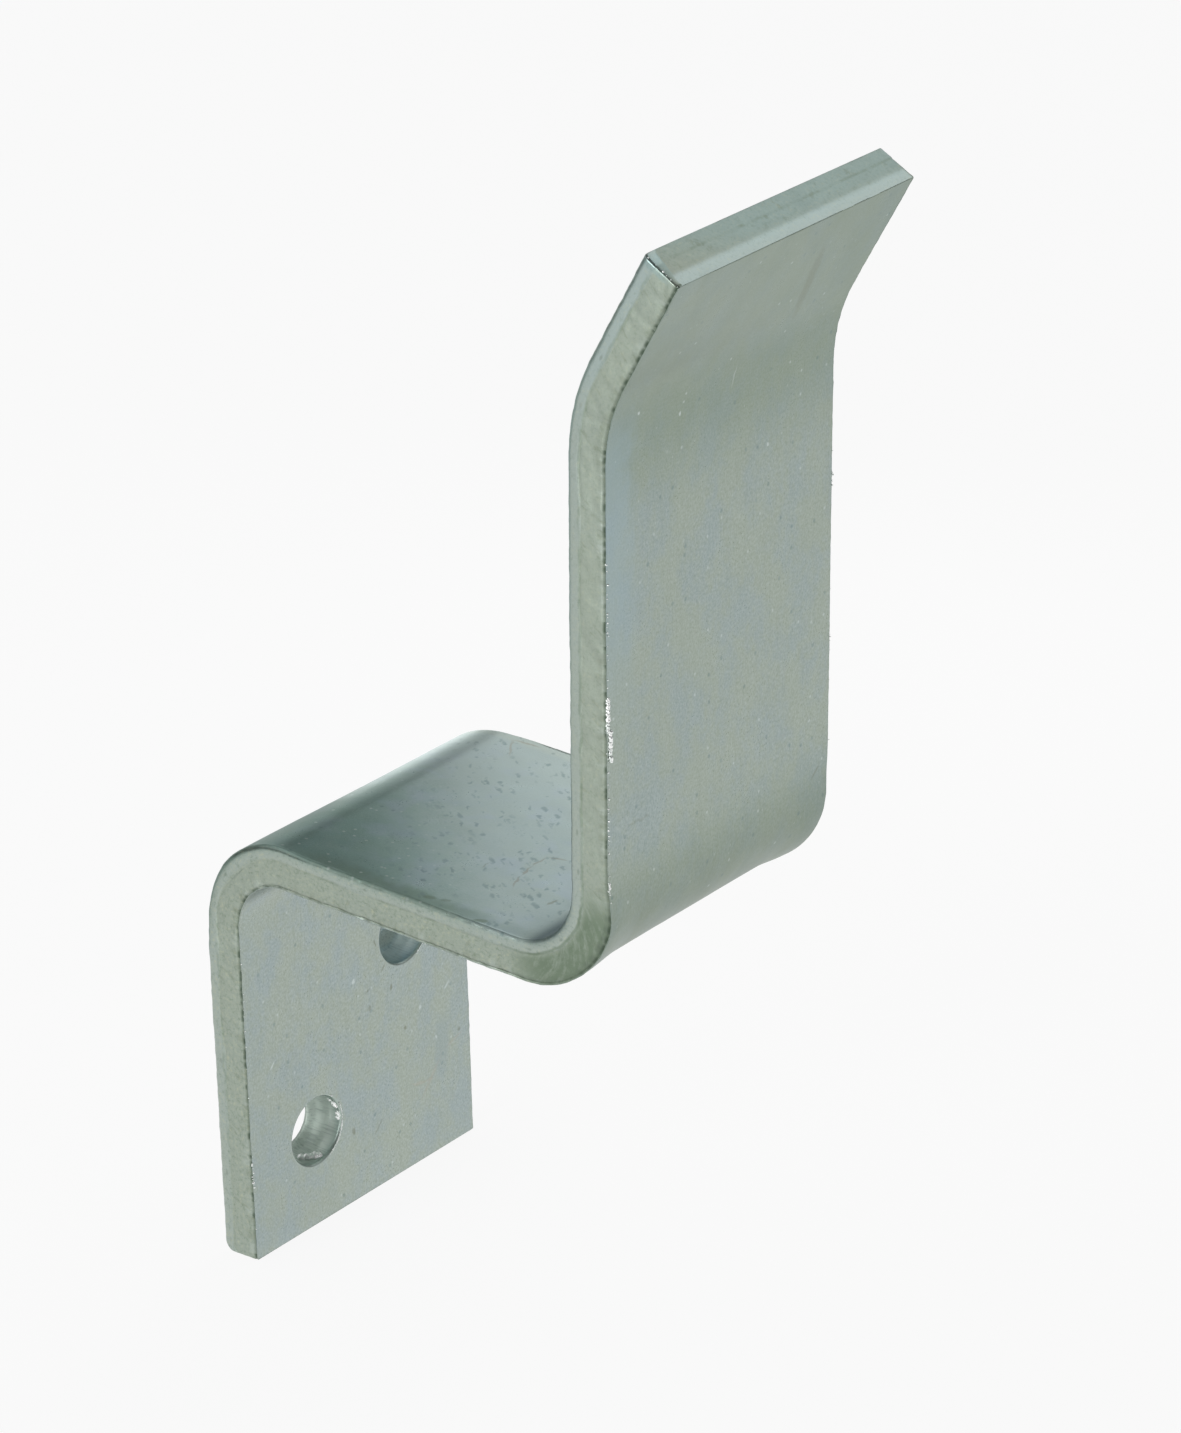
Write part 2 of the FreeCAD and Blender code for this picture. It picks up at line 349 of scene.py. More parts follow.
@dataclass(frozen=True)
class EndMarks:
    """What the shear leaves on an end of the strip.

    Args:
        run: Length of the rounded edge along the strip.
        drop: Depth of the rounded edge through the strip.
        corner: Rounding of the end's short edges.
        bar_side: Whether the blade went in, and rounded the edge, on the bar side.
        lean: How much shorter the strip is on its bar side than on its front.
        skew: How much shorter it is at its near edge than at its far edge.
        draw_bar: How far the near corner is drawn in on the bar side.
        draw_front: How far it is drawn in on the front.
    """

    run: float
    drop: float
    corner: float
    bar_side: bool
    lean: float = 0.0
    skew: float = 0.0
    draw_bar: float = 0.0
    draw_front: float = 0.0

    DRAW_RUN = 0.14

    def draw(self, x: np.ndarray, away: np.ndarray, depth_share: np.ndarray) -> np.ndarray:
        """Return how far places across are drawn in at the near corner.

        Args:
            x: Places across.
            away: Distances from the end of the strip.
            depth_share: Depths as shares of the thickness, 0 on the bar side.
        """
        most = self.draw_front + (self.draw_bar - self.draw_front) * (1 - depth_share)
        return quarter_round(away, self.DRAW_RUN, 1.0) * most * ease((-x - 14.5) / 4.0)

    def slide(self, across_share: np.ndarray, depth_share: np.ndarray) -> np.ndarray:
        """Return how far the end lies back along the strip, from 0 at its longest corner.

        Args:
            across_share: Places across as shares of the width, -0.5 to 0.5.
            depth_share: Depths as shares of the thickness, 0 on the bar side.
        """
        skew = self.skew * (0.65 + 0.35 * depth_share)
        return -self.lean * (1 - depth_share) - skew * (0.5 - across_share)


@dataclass(frozen=True)
class BoreMarks:
    """What the punch leaves in a screw hole, from the front to the bar side."""

    rim: float = 0.34
    rim_steps: int = 5
    smooth_depth: float = 1.6
    smooth_steps: int = 3
    flare: float = -0.22
    rags: tuple[float, float] = (0.5, 1.6)
    torn_steps: int = 9
    torn_rough: float = 0.05
    patch: float = 6.0
    patch_cells: int = 20
    patch_rings: int = 8

    def rings(self, radius: float, thickness: float) -> Rows:
        """Return the rings of a bore.

        Args:
            radius: Radius of the hole.
            thickness: Thickness of the strip.

        Returns:
            Rows of radius, depth from the bar side and zones, from the front inwards.
        """
        rows = []
        for step in range(self.rim_steps + 1):
            angle = math.pi / 2 * step / self.rim_steps
            part = step / self.rim_steps
            rows.append((radius + self.rim * (1 - math.sin(angle)),
                         thickness - self.rim * (1 - math.cos(angle)),
                         {Zone.BURNISHED: part, Zone.BORE: part}))
        inner = thickness - self.rim
        for step in range(1, self.smooth_steps + 1):
            depth = inner - (self.smooth_depth - self.rim) * step / self.smooth_steps
            rows.append((radius, depth, {Zone.BURNISHED: 1.0, Zone.BORE: 1.0}))
        start = thickness - self.smooth_depth
        for step in range(1, self.torn_steps + 1):
            part = step / self.torn_steps
            rows.append((radius + self.flare * ease(part * 2.5) * 0.6 + self.flare * 0.4 * part,
                         start * (1 - part), {Zone.TORN: 1.0, Zone.BORE: 1.0}))
        return rows


@dataclass(frozen=True)
class Dent:
    """A small knock in a face.

    Args:
        across: Place across the strip.
        along: Place along the strip from the foot.
        front: Whether it is on the front.
        reach: Its radius.
        depth: How deep it is.
        stretch: How many times longer it is along the strip than across it.
    """

    across: float
    along: float
    front: bool
    reach: float
    depth: float
    stretch: float = 1.0


class Strip:
    """The bent strip as one closed mesh."""

    EDGE_STEPS = (0.0, 0.17, 0.33, 0.48, 0.61, 0.72, 0.81, 0.88, 0.94, 1.0)
    FACE_WAVE = 0.03
    FACE_RIPPLE = 0.006
    DRAWN_AT_BENDS = (0.5, 0.46, 0.06)
    FLARE = 0.45
    SKEW_REACH = 8.0

    def __init__(self, sizes: StripSizes, near: ShearMarks, far: ShearMarks, bores: BoreMarks,
                 foot: EndMarks, lip: EndMarks, dents: tuple[Dent, ...]) -> None:
        """Keep the sizes and lay out the path, the columns and the rails."""
        self.sizes = sizes
        self.edges = {-1: near, 1: far}
        self.bores = bores
        self.foot = foot
        self.lip = lip
        self.dents = dents
        reach = bores.patch
        rows = [z - sizes.foot_height + side * reach
                for _, z in sizes.hole_centres for side in (-1, 1)]
        self.path = StripPath(sizes, rows)
        self.columns = self._columns()
        self.rails = {sign: marks.rails(sizes.thickness) for sign, marks in self.edges.items()}
        self.points: list[np.ndarray] = []
        self.faces: list[tuple[int, ...]] = []
        self.zones: dict[Zone, list[np.ndarray]] = {zone: [] for zone in Zone}
        self.places: list[np.ndarray] = []
        self.count = 0

    def _columns(self) -> list[tuple[float, float]]:
        """Return the columns of a face as a fixed place and a share of the way to the edge."""
        reach = self.bores.patch
        marks = sorted(x + side * reach for x, _ in self.sizes.hole_centres for side in (-1, 1))
        inner = []
        cell = 2 * reach / self.bores.patch_cells
        for start, end in zip(marks, marks[1:]):
            inner += spread(start, end, cell)
        inner.append(marks[-1])
        left = [(marks[0], -share) for share in self.EDGE_STEPS[:0:-1]]
        right = [(marks[-1], share) for share in self.EDGE_STEPS[1:]]
        return left + [(place, 0.0) for place in inner] + right

    def _half_width(self, depth_share: np.ndarray) -> np.ndarray:
        """Return half the width at each station, drawn in where a bend stretches the metal."""
        bar_side = 1 - depth_share
        drawn = 0.0
        for number, most in enumerate(self.DRAWN_AT_BENDS):
            share = depth_share if self.sizes.bends[number].turn > 0 else bar_side
            drawn = drawn + most * self.path.near_bend(number)[:, None] * share
        return self.sizes.width / 2 - drawn

    def _add(self, points: np.ndarray, places: np.ndarray,
             zones: dict[Zone, np.ndarray | float]) -> np.ndarray:
        """Add vertices and return their numbers, in the shape that they came in."""
        shape = points.shape[:-1]
        size = int(np.prod(shape))
        self.points.append(points.reshape(-1, 3))
        self.places.append(places.reshape(-1, 3))
        for zone in Zone:
            value = np.broadcast_to(zones.get(zone, 0.0), shape)
            self.zones[zone].append(np.array(value, float).reshape(-1))
        numbers = np.arange(self.count, self.count + size).reshape(shape)
        self.count += size
        return numbers

    def _section(self) -> tuple[np.ndarray, np.ndarray, dict[Zone, np.ndarray]]:
        """Return the closed section at each station as places across, depths and zones."""
        path, thickness = self.path, self.sizes.thickness
        stations = len(path.length)
        across, depth = [], []
        zones = {zone: [] for zone in Zone}
        ones = np.ones(stations)

        def put(x: np.ndarray, d: np.ndarray, weights: dict[Zone, np.ndarray | float]) -> None:
            """Add one line of the section along the whole strip."""
            across.append(x)
            depth.append(d)
            for zone in Zone:
                zones[zone].append(weights.get(zone, 0.0) * ones)

        for front, sign in ((False, 1), (True, -1)):
            self._put_face(put, front)
            self._put_edge(put, sign, front)
        lo, hi = self._end_drops()
        d = np.stack(depth, axis=1)
        d = lo[:, None] + (hi - lo)[:, None] * d / thickness
        x = np.stack(across, axis=1)
        return x, d, {zone: np.stack(rows, axis=1) for zone, rows in zones.items()}

    def _put_face(self, put, front: bool) -> None:
        """Add the columns of the bar side from -X to +X, or of the front from +X to -X."""
        share = 1.0 if front else 0.0
        half = self._half_width(np.full((1, 1), share))[:, 0]
        columns = self.columns[::-1] if front else self.columns
        depth = np.full(len(half), share * self.sizes.thickness)
        for place, toward in columns:
            marks = self.edges[1 if place > 0 else -1]
            edge = half - (marks.front_inset if front else marks.roll_across)
            x = place + (edge - abs(place)) * toward if toward else np.full(len(half), place)
            put(x, depth, {})

    def _put_edge(self, put, sign: int, upward: bool) -> None:
        """Add the rails of one long edge, from the bar side or, if upward, from the front."""
        path, thickness, marks = self.path, self.sizes.thickness, self.edges[sign]
        rails = self.rails[sign][::-1] if upward else self.rails[sign]
        seed = 3.0 + sign
        for inset, depth, weights in rails:
            half = self._half_width(np.full((1, 1), depth / thickness))[:, 0]
            line = np.stack([np.full_like(path.length, sign * 19.0), path.length,
                             np.full_like(path.length, depth)], axis=-1)
            roll = 1.0 + 0.25 * wander(line * [1, 1, 0], 9.0, seed)
            roll = roll + 0.3 * wander(line * [1, 1, 0], 0.9, seed + 9)
            torn = marks.torn_rough * weights.get(Zone.TORN, 0.0)
            extra = torn * (0.6 + wander(line, 0.9, seed))
            extra = extra + torn * wander(line * [1, 0.5, 1], 2.2, seed + 5)
            level = depth
            if 0 < depth < marks.smooth_to + 0.5:
                level = depth * (1.0 + 0.12 * wander(line * [1, 1, 0], 6.0, seed + 2))
            if depth > thickness:
                level = thickness + marks.burr_height * self._burr(line, seed)
            x = sign * (half - inset * roll - np.maximum(extra, 0.0))
            put(x, level + np.zeros_like(x), weights)

    def _burr(self, line: np.ndarray, seed: float) -> np.ndarray:
        """Return the height of the burr along an edge, as a share of its greatest height."""
        coarse = wander(line, 5.0, seed + 7)
        fine = wander(line, 0.7, seed + 8)
        return np.clip(0.35 + 0.5 * coarse + 0.6 * fine, 0.0, 1.0)

    def _end_drops(self) -> tuple[np.ndarray, np.ndarray]:
        """Return the lowest and highest depth at each station, for the rounded ends."""
        path, thickness = self.path, self.sizes.thickness
        lo = quarter_round(path.length, self.foot.run, self.foot.drop)
        hi = thickness - quarter_round(path.total - path.length, self.lip.run, self.lip.drop)
        return lo, hi

    def _end_corners(self, x: np.ndarray, d: np.ndarray) -> np.ndarray:
        """Return places across, drawn in a little at the ends' short edges."""
        path = self.path
        away = (path.total - path.length)[:, None]
        x = x + self.lip.draw(x, away, np.clip(d / self.sizes.thickness, 0, 1))
        drop = quarter_round(path.length, self.foot.corner, self.foot.corner)
        drop = drop + quarter_round(path.total - path.length, self.lip.corner, self.lip.corner)
        return x * (1.0 - drop[:, None] / (self.sizes.width / 2))

    def _relief(self, x: np.ndarray, length: np.ndarray, depth: np.ndarray,
                into: np.ndarray) -> np.ndarray:
        """Return the change of depth that waves, ripples and dents make.

        Args:
            x: Places across.
            length: Places along.
            depth: Depths from the bar side; not used.
            into: 1 on the bar side, -1 on the front, 0 on the edges.

        Returns:
            Changes of depth, all into the metal.
        """
        places = np.stack([x, length, np.where(into > 0, 0.0, 40.0)], axis=-1)
        wave = self.FACE_WAVE * (0.8 + wander(places, 14.0, 1.0))
        ripple = self.FACE_RIPPLE * (0.8 + wander(places * [1, 0.4, 1], 1.6, 2.0))
        push = np.maximum(wave, 0.0) + np.maximum(ripple, 0.0)
        for dent in self.dents:
            side = into < 0 if dent.front else into > 0
            away = np.hypot(x - dent.across, (length - dent.along) / dent.stretch) / dent.reach
            push = push + np.where(side, dent.depth * ease(1.0 - away), 0.0)
        return push * into

    def _flare(self, x: np.ndarray, depth_share: np.ndarray) -> np.ndarray:
        """Return how far the front's edges stand out at the upright's bend."""
        toward_edge = ease((np.abs(x) - 12.5) / 6.0)
        return self.FLARE * self.path.near_bend(1, 1.0)[:, None] * toward_edge * depth_share

    def build(self) -> bpy.types.Object:
        """Build the strip and return it as an object."""
        x, d, zones = self._section()
        x = self._end_corners(x, d)
        length = np.broadcast_to(self.path.length[:, None], x.shape)
        face = len(self.columns)
        rail = len(self.rails[1])
        into = np.zeros_like(x)
        into[:, :face] = 1.0
        into[:, face + rail:2 * face + rail] = -1.0
        d = d + self._relief(x, length, d, into)
        d = d + self._flare(x, d / self.sizes.thickness)
        points = self.path.lift(x, self._slide(x, d), d)
        zones[Zone.STRETCHED] = self._stretched(d)
        zones[Zone.FOLDED] = np.broadcast_to(self.path.near_bend(1, 2.0)[:, None], d.shape)
        places = np.stack([x, length, d], axis=-1)
        numbers = self._add(points, places, zones)
        holes = self._hole_cells()
        self._skin(numbers, holes, face, rail)
        for centre, (rows, columns) in zip(self.sizes.hole_centres, holes):
            self._bore(centre, rows, columns, numbers, face, rail)
        self._cap(numbers[0], d[0], x[0], 0, face, rail, flip=True)
        self._cap(numbers[-1], d[-1], x[-1], -1, face, rail, flip=False)
        return self._write("bracket_strip")

    def crest(self, sign: int, start: float, end: float, inset: float = 0.12) -> np.ndarray:
        """Return points on the front along its long edge at +X or -X, in metres."""
        marks = self.edges[sign]
        half = self._half_width(np.ones((1, 1)))[:, 0]
        x = sign * (half - marks.torn_lean - inset)[:, None]
        d = np.full_like(x, self.sizes.thickness) + self._flare(x, np.ones_like(x))
        points = self.path.lift(x, self._slide(x, d), d)[:, 0]
        return points[(self.path.length > start) & (self.path.length < end)]

    def end_crest(self) -> np.ndarray:
        """Return points along the near edge of the lip's end face, in metres."""
        d = np.linspace(0.5, self.sizes.thickness - 0.1, 12)[None, :]
        x = np.full_like(d, -self.sizes.width / 2 + 0.2)
        whole = np.repeat(d, len(self.path.length), axis=0)
        points = self.path.lift(np.broadcast_to(x, whole.shape), self._slide(x, whole), whole)
        return points[-1]

    def rim(self, hole: int, start: float, end: float,
            below: tuple[float, float] | None = None) -> np.ndarray:
        """Return points round a hole between two angles, in metres.

        Args:
            hole: Number of the hole.
            start: First angle in degrees, from +X towards +Z.
            end: Last angle.
            below: Depths in the bore at both ends, or None on the front's rim.

        Returns:
            The points.
        """
        x, z = self.sizes.hole_centres[hole]
        turn = np.radians(np.linspace(start, end, 24))
        reach = self.sizes.hole_diameter / 2 + (0.0 if below else self.bores.rim * 0.7)
        depth = np.linspace(*(below or (0.0, 0.0)), 24) - self.sizes.thickness
        return np.stack([x + reach * np.cos(turn), depth, z + reach * np.sin(turn)], -1) * METRES

    def _slide(self, x: np.ndarray, d: np.ndarray) -> np.ndarray:
        """Return how far points move along the strip where the lip's end is cut askew."""
        near_end = ease(1.0 - (self.path.total - self.path.length) / self.SKEW_REACH)[:, None]
        return near_end * self.lip.slide(x / self.sizes.width, d / self.sizes.thickness)

    def _stretched(self, d: np.ndarray) -> np.ndarray:
        """Return 1 where a bend has stretched the surface, at the outside of the bends."""
        share = np.clip(d / self.sizes.thickness, 0, 1)
        stretched = np.zeros_like(d)
        for number, bend in enumerate(self.sizes.bends):
            side = 1 - share if bend.turn < 0 else share
            strength = min(1.0, 8.0 / bend.inner_radius)
            stretched = stretched + strength * self.path.near_bend(number, 1.5)[:, None] * side
        return stretched

    def _hole_cells(self) -> list[tuple[tuple[int, int], tuple[int, int]]]:
        """Return the first and last row and column of each hole's patch."""
        fixed = [place if not toward else None for place, toward in self.columns]
        cells = []
        for x, z in self.sizes.hole_centres:
            low, high = x - self.bores.patch, x + self.bores.patch
            columns = [self._nearest(fixed, low), self._nearest(fixed, high)]
            height = z - self.sizes.foot_height
            rows = [int(np.argmin(np.abs(self.path.length - height - side * self.bores.patch)))
                    for side in (-1, 1)]
            cells.append((tuple(rows), tuple(columns)))
        return cells

    @staticmethod
    def _nearest(places: list[float | None], wanted: float) -> int:
        """Return the number of the place that is nearest to the one wanted."""
        return min((i for i, place in enumerate(places) if place is not None),
                   key=lambda i: abs(places[i] - wanted))

    def _skin(self, numbers: np.ndarray, holes: list, face: int, rail: int) -> None:
        """Add the quads between the stations, apart from the patches round the holes."""
        ring = numbers.shape[1]
        front_last = 2 * face + rail - 1
        for i in range(numbers.shape[0] - 1):
            skip = set()
            for (r0, r1), (c0, c1) in holes:
                if r0 <= i < r1:
                    skip.update(range(c0, c1))
                    skip.update(range(front_last - c1, front_last - c0))
            for k in range(ring):
                if k in skip:
                    continue
                n = (k + 1) % ring
                self.faces.append((numbers[i, k], numbers[i, n], numbers[i + 1, n],
                                   numbers[i + 1, k]))

    def _border(self, numbers: np.ndarray, rows: tuple[int, int],
                columns: tuple[int, int]) -> list[int]:
        """Return a patch's border vertices, once round from its lowest corner at -X."""
        (r0, r1), (c0, c1) = rows, columns
        step = 1 if c1 > c0 else -1
        low = [numbers[r0, c] for c in range(c0, c1, step)]
        right = [numbers[r, c1] for r in range(r0, r1)]
        high = [numbers[r1, c] for c in range(c1, c0, -step)]
        left = [numbers[r, c0] for r in range(r1, r0, -1)]
        return low + right + high + left

    def _bore(self, centre: tuple[float, float], rows: tuple[int, int], columns: tuple[int, int],
              numbers: np.ndarray, face: int, rail: int) -> None:
        """Add a hole's patch on each face and the bore between them."""
        front_last = 2 * face + rail - 1
        bar = self._border(numbers, rows, columns)
        front = self._border(numbers, rows, (front_last - columns[0], front_last - columns[1]))
        rings = self.bores.rings(self.sizes.hole_diameter / 2, self.sizes.thickness)
        turn = 2 * math.pi * np.arange(len(bar)) / len(bar) - 0.75 * math.pi
        around = np.stack([np.cos(turn), np.sin(turn)], axis=-1)
        wall = []
        for radius, depth, weights in rings:
            line = np.concatenate([around * radius, np.full((len(bar), 1), depth)], axis=-1)
            rough = weights.get(Zone.TORN, 0.0) * self.bores.torn_rough
            swell = np.maximum(rough * (0.6 + wander(line * [1, 1, 0.4], 0.8, centre[0])), 0.0)
            deep = weights.get(Zone.TORN, 0.0) * ease(1.0 - depth / 1.4)
            rag = self.bores.rags[0 if centre[0] < 0 else 1]
            toward = ease((around[:, 0] * 0.97 - around[:, 1] * 0.2 + 0.2) / 0.8)
            swell = swell - rag * deep * toward
            reach = radius + swell
            wall.append(self._hole_ring(centre, around * reach[:, None], depth, weights))
        first, last = rings[0], rings[-1]
        outer_front = self._patch(centre, front, around * first[0], True)
        outer_bar = self._patch(centre, bar, around * last[0], False)
        for lines in (outer_front + wall[:1], wall, wall[-1:] + outer_bar[::-1]):
            for one, other in zip(lines, lines[1:]):
                self._band(one, other)

    def _hole_ring(self, centre: tuple[float, float], offsets: np.ndarray, depth: float,
                   weights: dict[Zone, float]) -> list[int]:
        """Add one ring of vertices round a hole and return their numbers."""
        x = centre[0] + offsets[:, 0]
        height = centre[1] + offsets[:, 1]
        depths = np.broadcast_to(depth, x.shape)
        length = height - self.sizes.foot_height
        points = np.stack([x, -depths, height], axis=-1) * METRES
        places = np.stack([x, length, depths], axis=-1)
        return list(self._add(points, places, weights))

    def _patch(self, centre: tuple[float, float], border: list[int], circle: np.ndarray,
               front: bool) -> list[list[int]]:
        """Add the rings between a patch's border and its hole.

        Args:
            centre: The hole's place across and up.
            border: Border vertices.
            circle: Offsets of the hole's edge from its centre.
            front: Whether the patch is on the front.

        Returns:
            The rings from the border inwards, the border first.
        """
        points = np.concatenate(self.points)
        corners = points[border] / METRES
        square = np.stack([corners[:, 0] - centre[0], corners[:, 2] - centre[1]], axis=-1)
        base = self.sizes.thickness if front else 0.0
        rings = [list(border)]
        for step in range(1, self.bores.patch_rings):
            part = (step / self.bores.patch_rings) ** 0.8
            offsets = square * (1 - part) + circle * part
            x = centre[0] + offsets[:, 0]
            length = centre[1] + offsets[:, 1] - self.sizes.foot_height
            into = np.full(len(x), -1.0 if front else 1.0)
            depth = base + self._relief(x, length, np.full(len(x), base), into) * (1 - part ** 4)
            rings.append(self._hole_ring(centre, offsets, depth, {}))
        return rings

    def _band(self, one: list[int], other: list[int]) -> None:
        """Add the quads between two closed rings of as many vertices."""
        count = len(one)
        for k in range(count):
            n = (k + 1) % count
            self.faces.append((one[k], one[n], other[n], other[k]))

    def _cap(self, ring: np.ndarray, d: np.ndarray, x: np.ndarray, station: int, face: int,
             rail: int, flip: bool) -> None:
        """Close an end of the strip with a grid between its two long edges."""
        path = self.path
        bar = ring[:face]
        far = ring[face:face + rail]
        front = ring[face + rail:2 * face + rail][::-1]
        near = ring[2 * face + rail:][::-1]
        share = (x[:face] - x[0]) / (x[face - 1] - x[0])
        rows = [list(bar)]
        low_x, low_d = x[2 * face + rail:][::-1], d[2 * face + rail:][::-1]
        high_x, high_d = x[face:face + rail], d[face:face + rail]
        heading = path.heading[station]
        base = np.array([path.out[station], path.up[station]])
        ahead = np.array([math.cos(heading), math.sin(heading)])
        side = np.array([math.sin(heading), -math.cos(heading)])
        inward = 1.0 if station == 0 else -1.0
        marks = self.foot if station == 0 else self.lip
        for j in range(rail):
            across = low_x[j] + (high_x[j] - low_x[j]) * share[1:-1]
            depth = low_d[j] + (high_d[j] - low_d[j]) * share[1:-1]
            line = np.stack([across, np.full_like(across, station * 50.0), depth], axis=-1)
            part = j / (rail - 1)
            edge = min(part, 1 - part) * 8
            rough = 0.03 * min(1.0, edge) * (0.6 + wander(line, 0.9, 11.0))
            slide = marks.slide(across / self.sizes.width, depth / self.sizes.thickness)
            along = inward * np.maximum(rough, 0.0) + slide
            flat = base + ahead * along[:, None] + side * depth[:, None]
            points = np.stack([across, -flat[:, 0], flat[:, 1]], axis=-1) * METRES
            length = np.full_like(across, path.length[station])
            places = np.stack([across, length + along, depth], axis=-1)
            weights = self._cap_zones(part, marks, across - low_x[j])
            middle = self._add(points, places, weights)
            rows.append([near[j], *middle, far[j]])
        rows.append(list(front))
        for one, other in zip(rows, rows[1:]):
            for k in range(len(one) - 1):
                quad = (one[k], one[k + 1], other[k + 1], other[k])
                self.faces.append(quad[::-1] if flip else quad)

    @staticmethod
    def _cap_zones(part: float, marks: EndMarks,
                   inset: np.ndarray) -> dict[Zone, np.ndarray | float]:
        """Return the zones of an end face, by share from the bar side and inset from -X."""
        entry = part if marks.bar_side else 1 - part
        smooth = float(ease((0.36 - entry) / 0.1))
        near_edge = ease(1.0 - inset / 0.28)
        return {Zone.SHEARED: 1.0, Zone.BURNISHED: smooth, Zone.TORN: 1 - smooth,
                Zone.LEDGE: near_edge}

    def _write(self, name: str) -> bpy.types.Object:
        """Write the used vertices, the faces and the attributes to a new object."""
        points = np.concatenate(self.points)
        faces = np.array(self.faces)
        used = np.unique(faces)
        renumber = np.full(len(points), -1)
        renumber[used] = np.arange(len(used))
        mesh = bpy.data.meshes.new(name)
        mesh.from_pydata(points[used].tolist(), [], renumber[faces].tolist())
        self._attribute(mesh, "place", "FLOAT_VECTOR", np.concatenate(self.places)[used])
        for zone, values in self.zones.items():
            self._attribute(mesh, zone.value, "FLOAT", np.concatenate(values)[used])
        work = bmesh.new()
        work.from_mesh(mesh)
        bmesh.ops.remove_doubles(work, verts=work.verts, dist=1e-7)
        bmesh.ops.recalc_face_normals(work, faces=work.faces)
        open_edges = sum(not edge.is_manifold for edge in work.edges)
        work.to_mesh(mesh)
        work.free()
        mesh.shade_smooth()
        log.info("%s: %d faces, %d open edges", name, len(mesh.polygons), open_edges)
        strip = bpy.data.objects.new(name, mesh)
        bpy.context.scene.collection.objects.link(strip)
        return strip

    @staticmethod
    def _attribute(mesh: bpy.types.Mesh, name: str, kind: str, values: np.ndarray) -> None:
        """Write a vertex attribute."""
        layer = mesh.attributes.new(name, kind, "POINT")
        key = "vector" if kind == "FLOAT_VECTOR" else "value"
        layer.data.foreach_set(key, values.astype(np.float32).ravel())


class Tree:
    """A node tree and the one way in which its nodes are made."""

    def __init__(self, tree: bpy.types.NodeTree) -> None:
        """Keep the tree."""
        self.tree = tree

    def node(self, kind: str, settings: dict | None = None,
             sockets: dict | None = None) -> bpy.types.Node:
        """Add a node.

        Args:
            kind: Blender's name of the node type.
            settings: Properties to set.
            sockets: Values or links of inputs, by name or number.

        Returns:
            The new node.
        """
        made = self.tree.nodes.new(kind)
        for name, value in (settings or {}).items():
            setattr(made, name, value)
        for name, value in (sockets or {}).items():
            self.feed(made.inputs[name], value)
        return made

    def feed(self, socket: bpy.types.NodeSocket, value: object) -> None:
        """Link a socket to a value's socket, or set it."""
        if isinstance(value, Value):
            value = value.socket
        if isinstance(value, bpy.types.NodeSocket):
            self.tree.links.new(value, socket)
        else:
            socket.default_value = value

    def value(self, node: bpy.types.Node, output: str | int = 0) -> "Value":
        """Return a node's output as a value for expressions."""
        return Value(self, node.outputs[output])


class Value:
    """A number that changes over the surface, for use in Python expressions."""

    def __init__(self, tree: Tree, socket: bpy.types.NodeSocket) -> None:
        """Wrap an output socket."""
        self.tree = tree
        self.socket = socket

    def _maths(self, operation: str, one: object, other: object) -> "Value":
        """Add a Math node."""
        node = self.tree.node("ShaderNodeMath", {"operation": operation}, {0: one, 1: other})
        return Value(self.tree, node.outputs[0])

    def __add__(self, other: object) -> "Value":
        """Sum."""
        return self._maths("ADD", self, other)

    __radd__ = __add__

    def __sub__(self, other: object) -> "Value":
        """Difference."""
        return self._maths("SUBTRACT", self, other)

    def __rsub__(self, other: object) -> "Value":
        """Difference from a number."""
        return self._maths("SUBTRACT", other, self)

    def __mul__(self, other: object) -> "Value":
        """Product."""
        return self._maths("MULTIPLY", self, other)

    __rmul__ = __mul__

    def clamped(self) -> "Value":
        """Value held between 0 and 1."""
        node = self.tree.node("ShaderNodeClamp", {}, {0: self})
        return Value(self.tree, node.outputs[0])

    def size(self) -> "Value":
        """Size without the sign."""
        return self._maths("ABSOLUTE", self, 0.0)

    def larger(self, other: object) -> "Value":
        """Larger of two values."""
        return self._maths("MAXIMUM", self, other)

    def smooth(self, low: float, high: float) -> "Value":
        """Return a smooth step from 0 at low to 1 at high."""
        node = self.tree.node("ShaderNodeMapRange", {"interpolation_type": "SMOOTHSTEP"},
                              {"Value": self, "From Min": low, "From Max": high})
        return Value(self.tree, node.outputs[0])


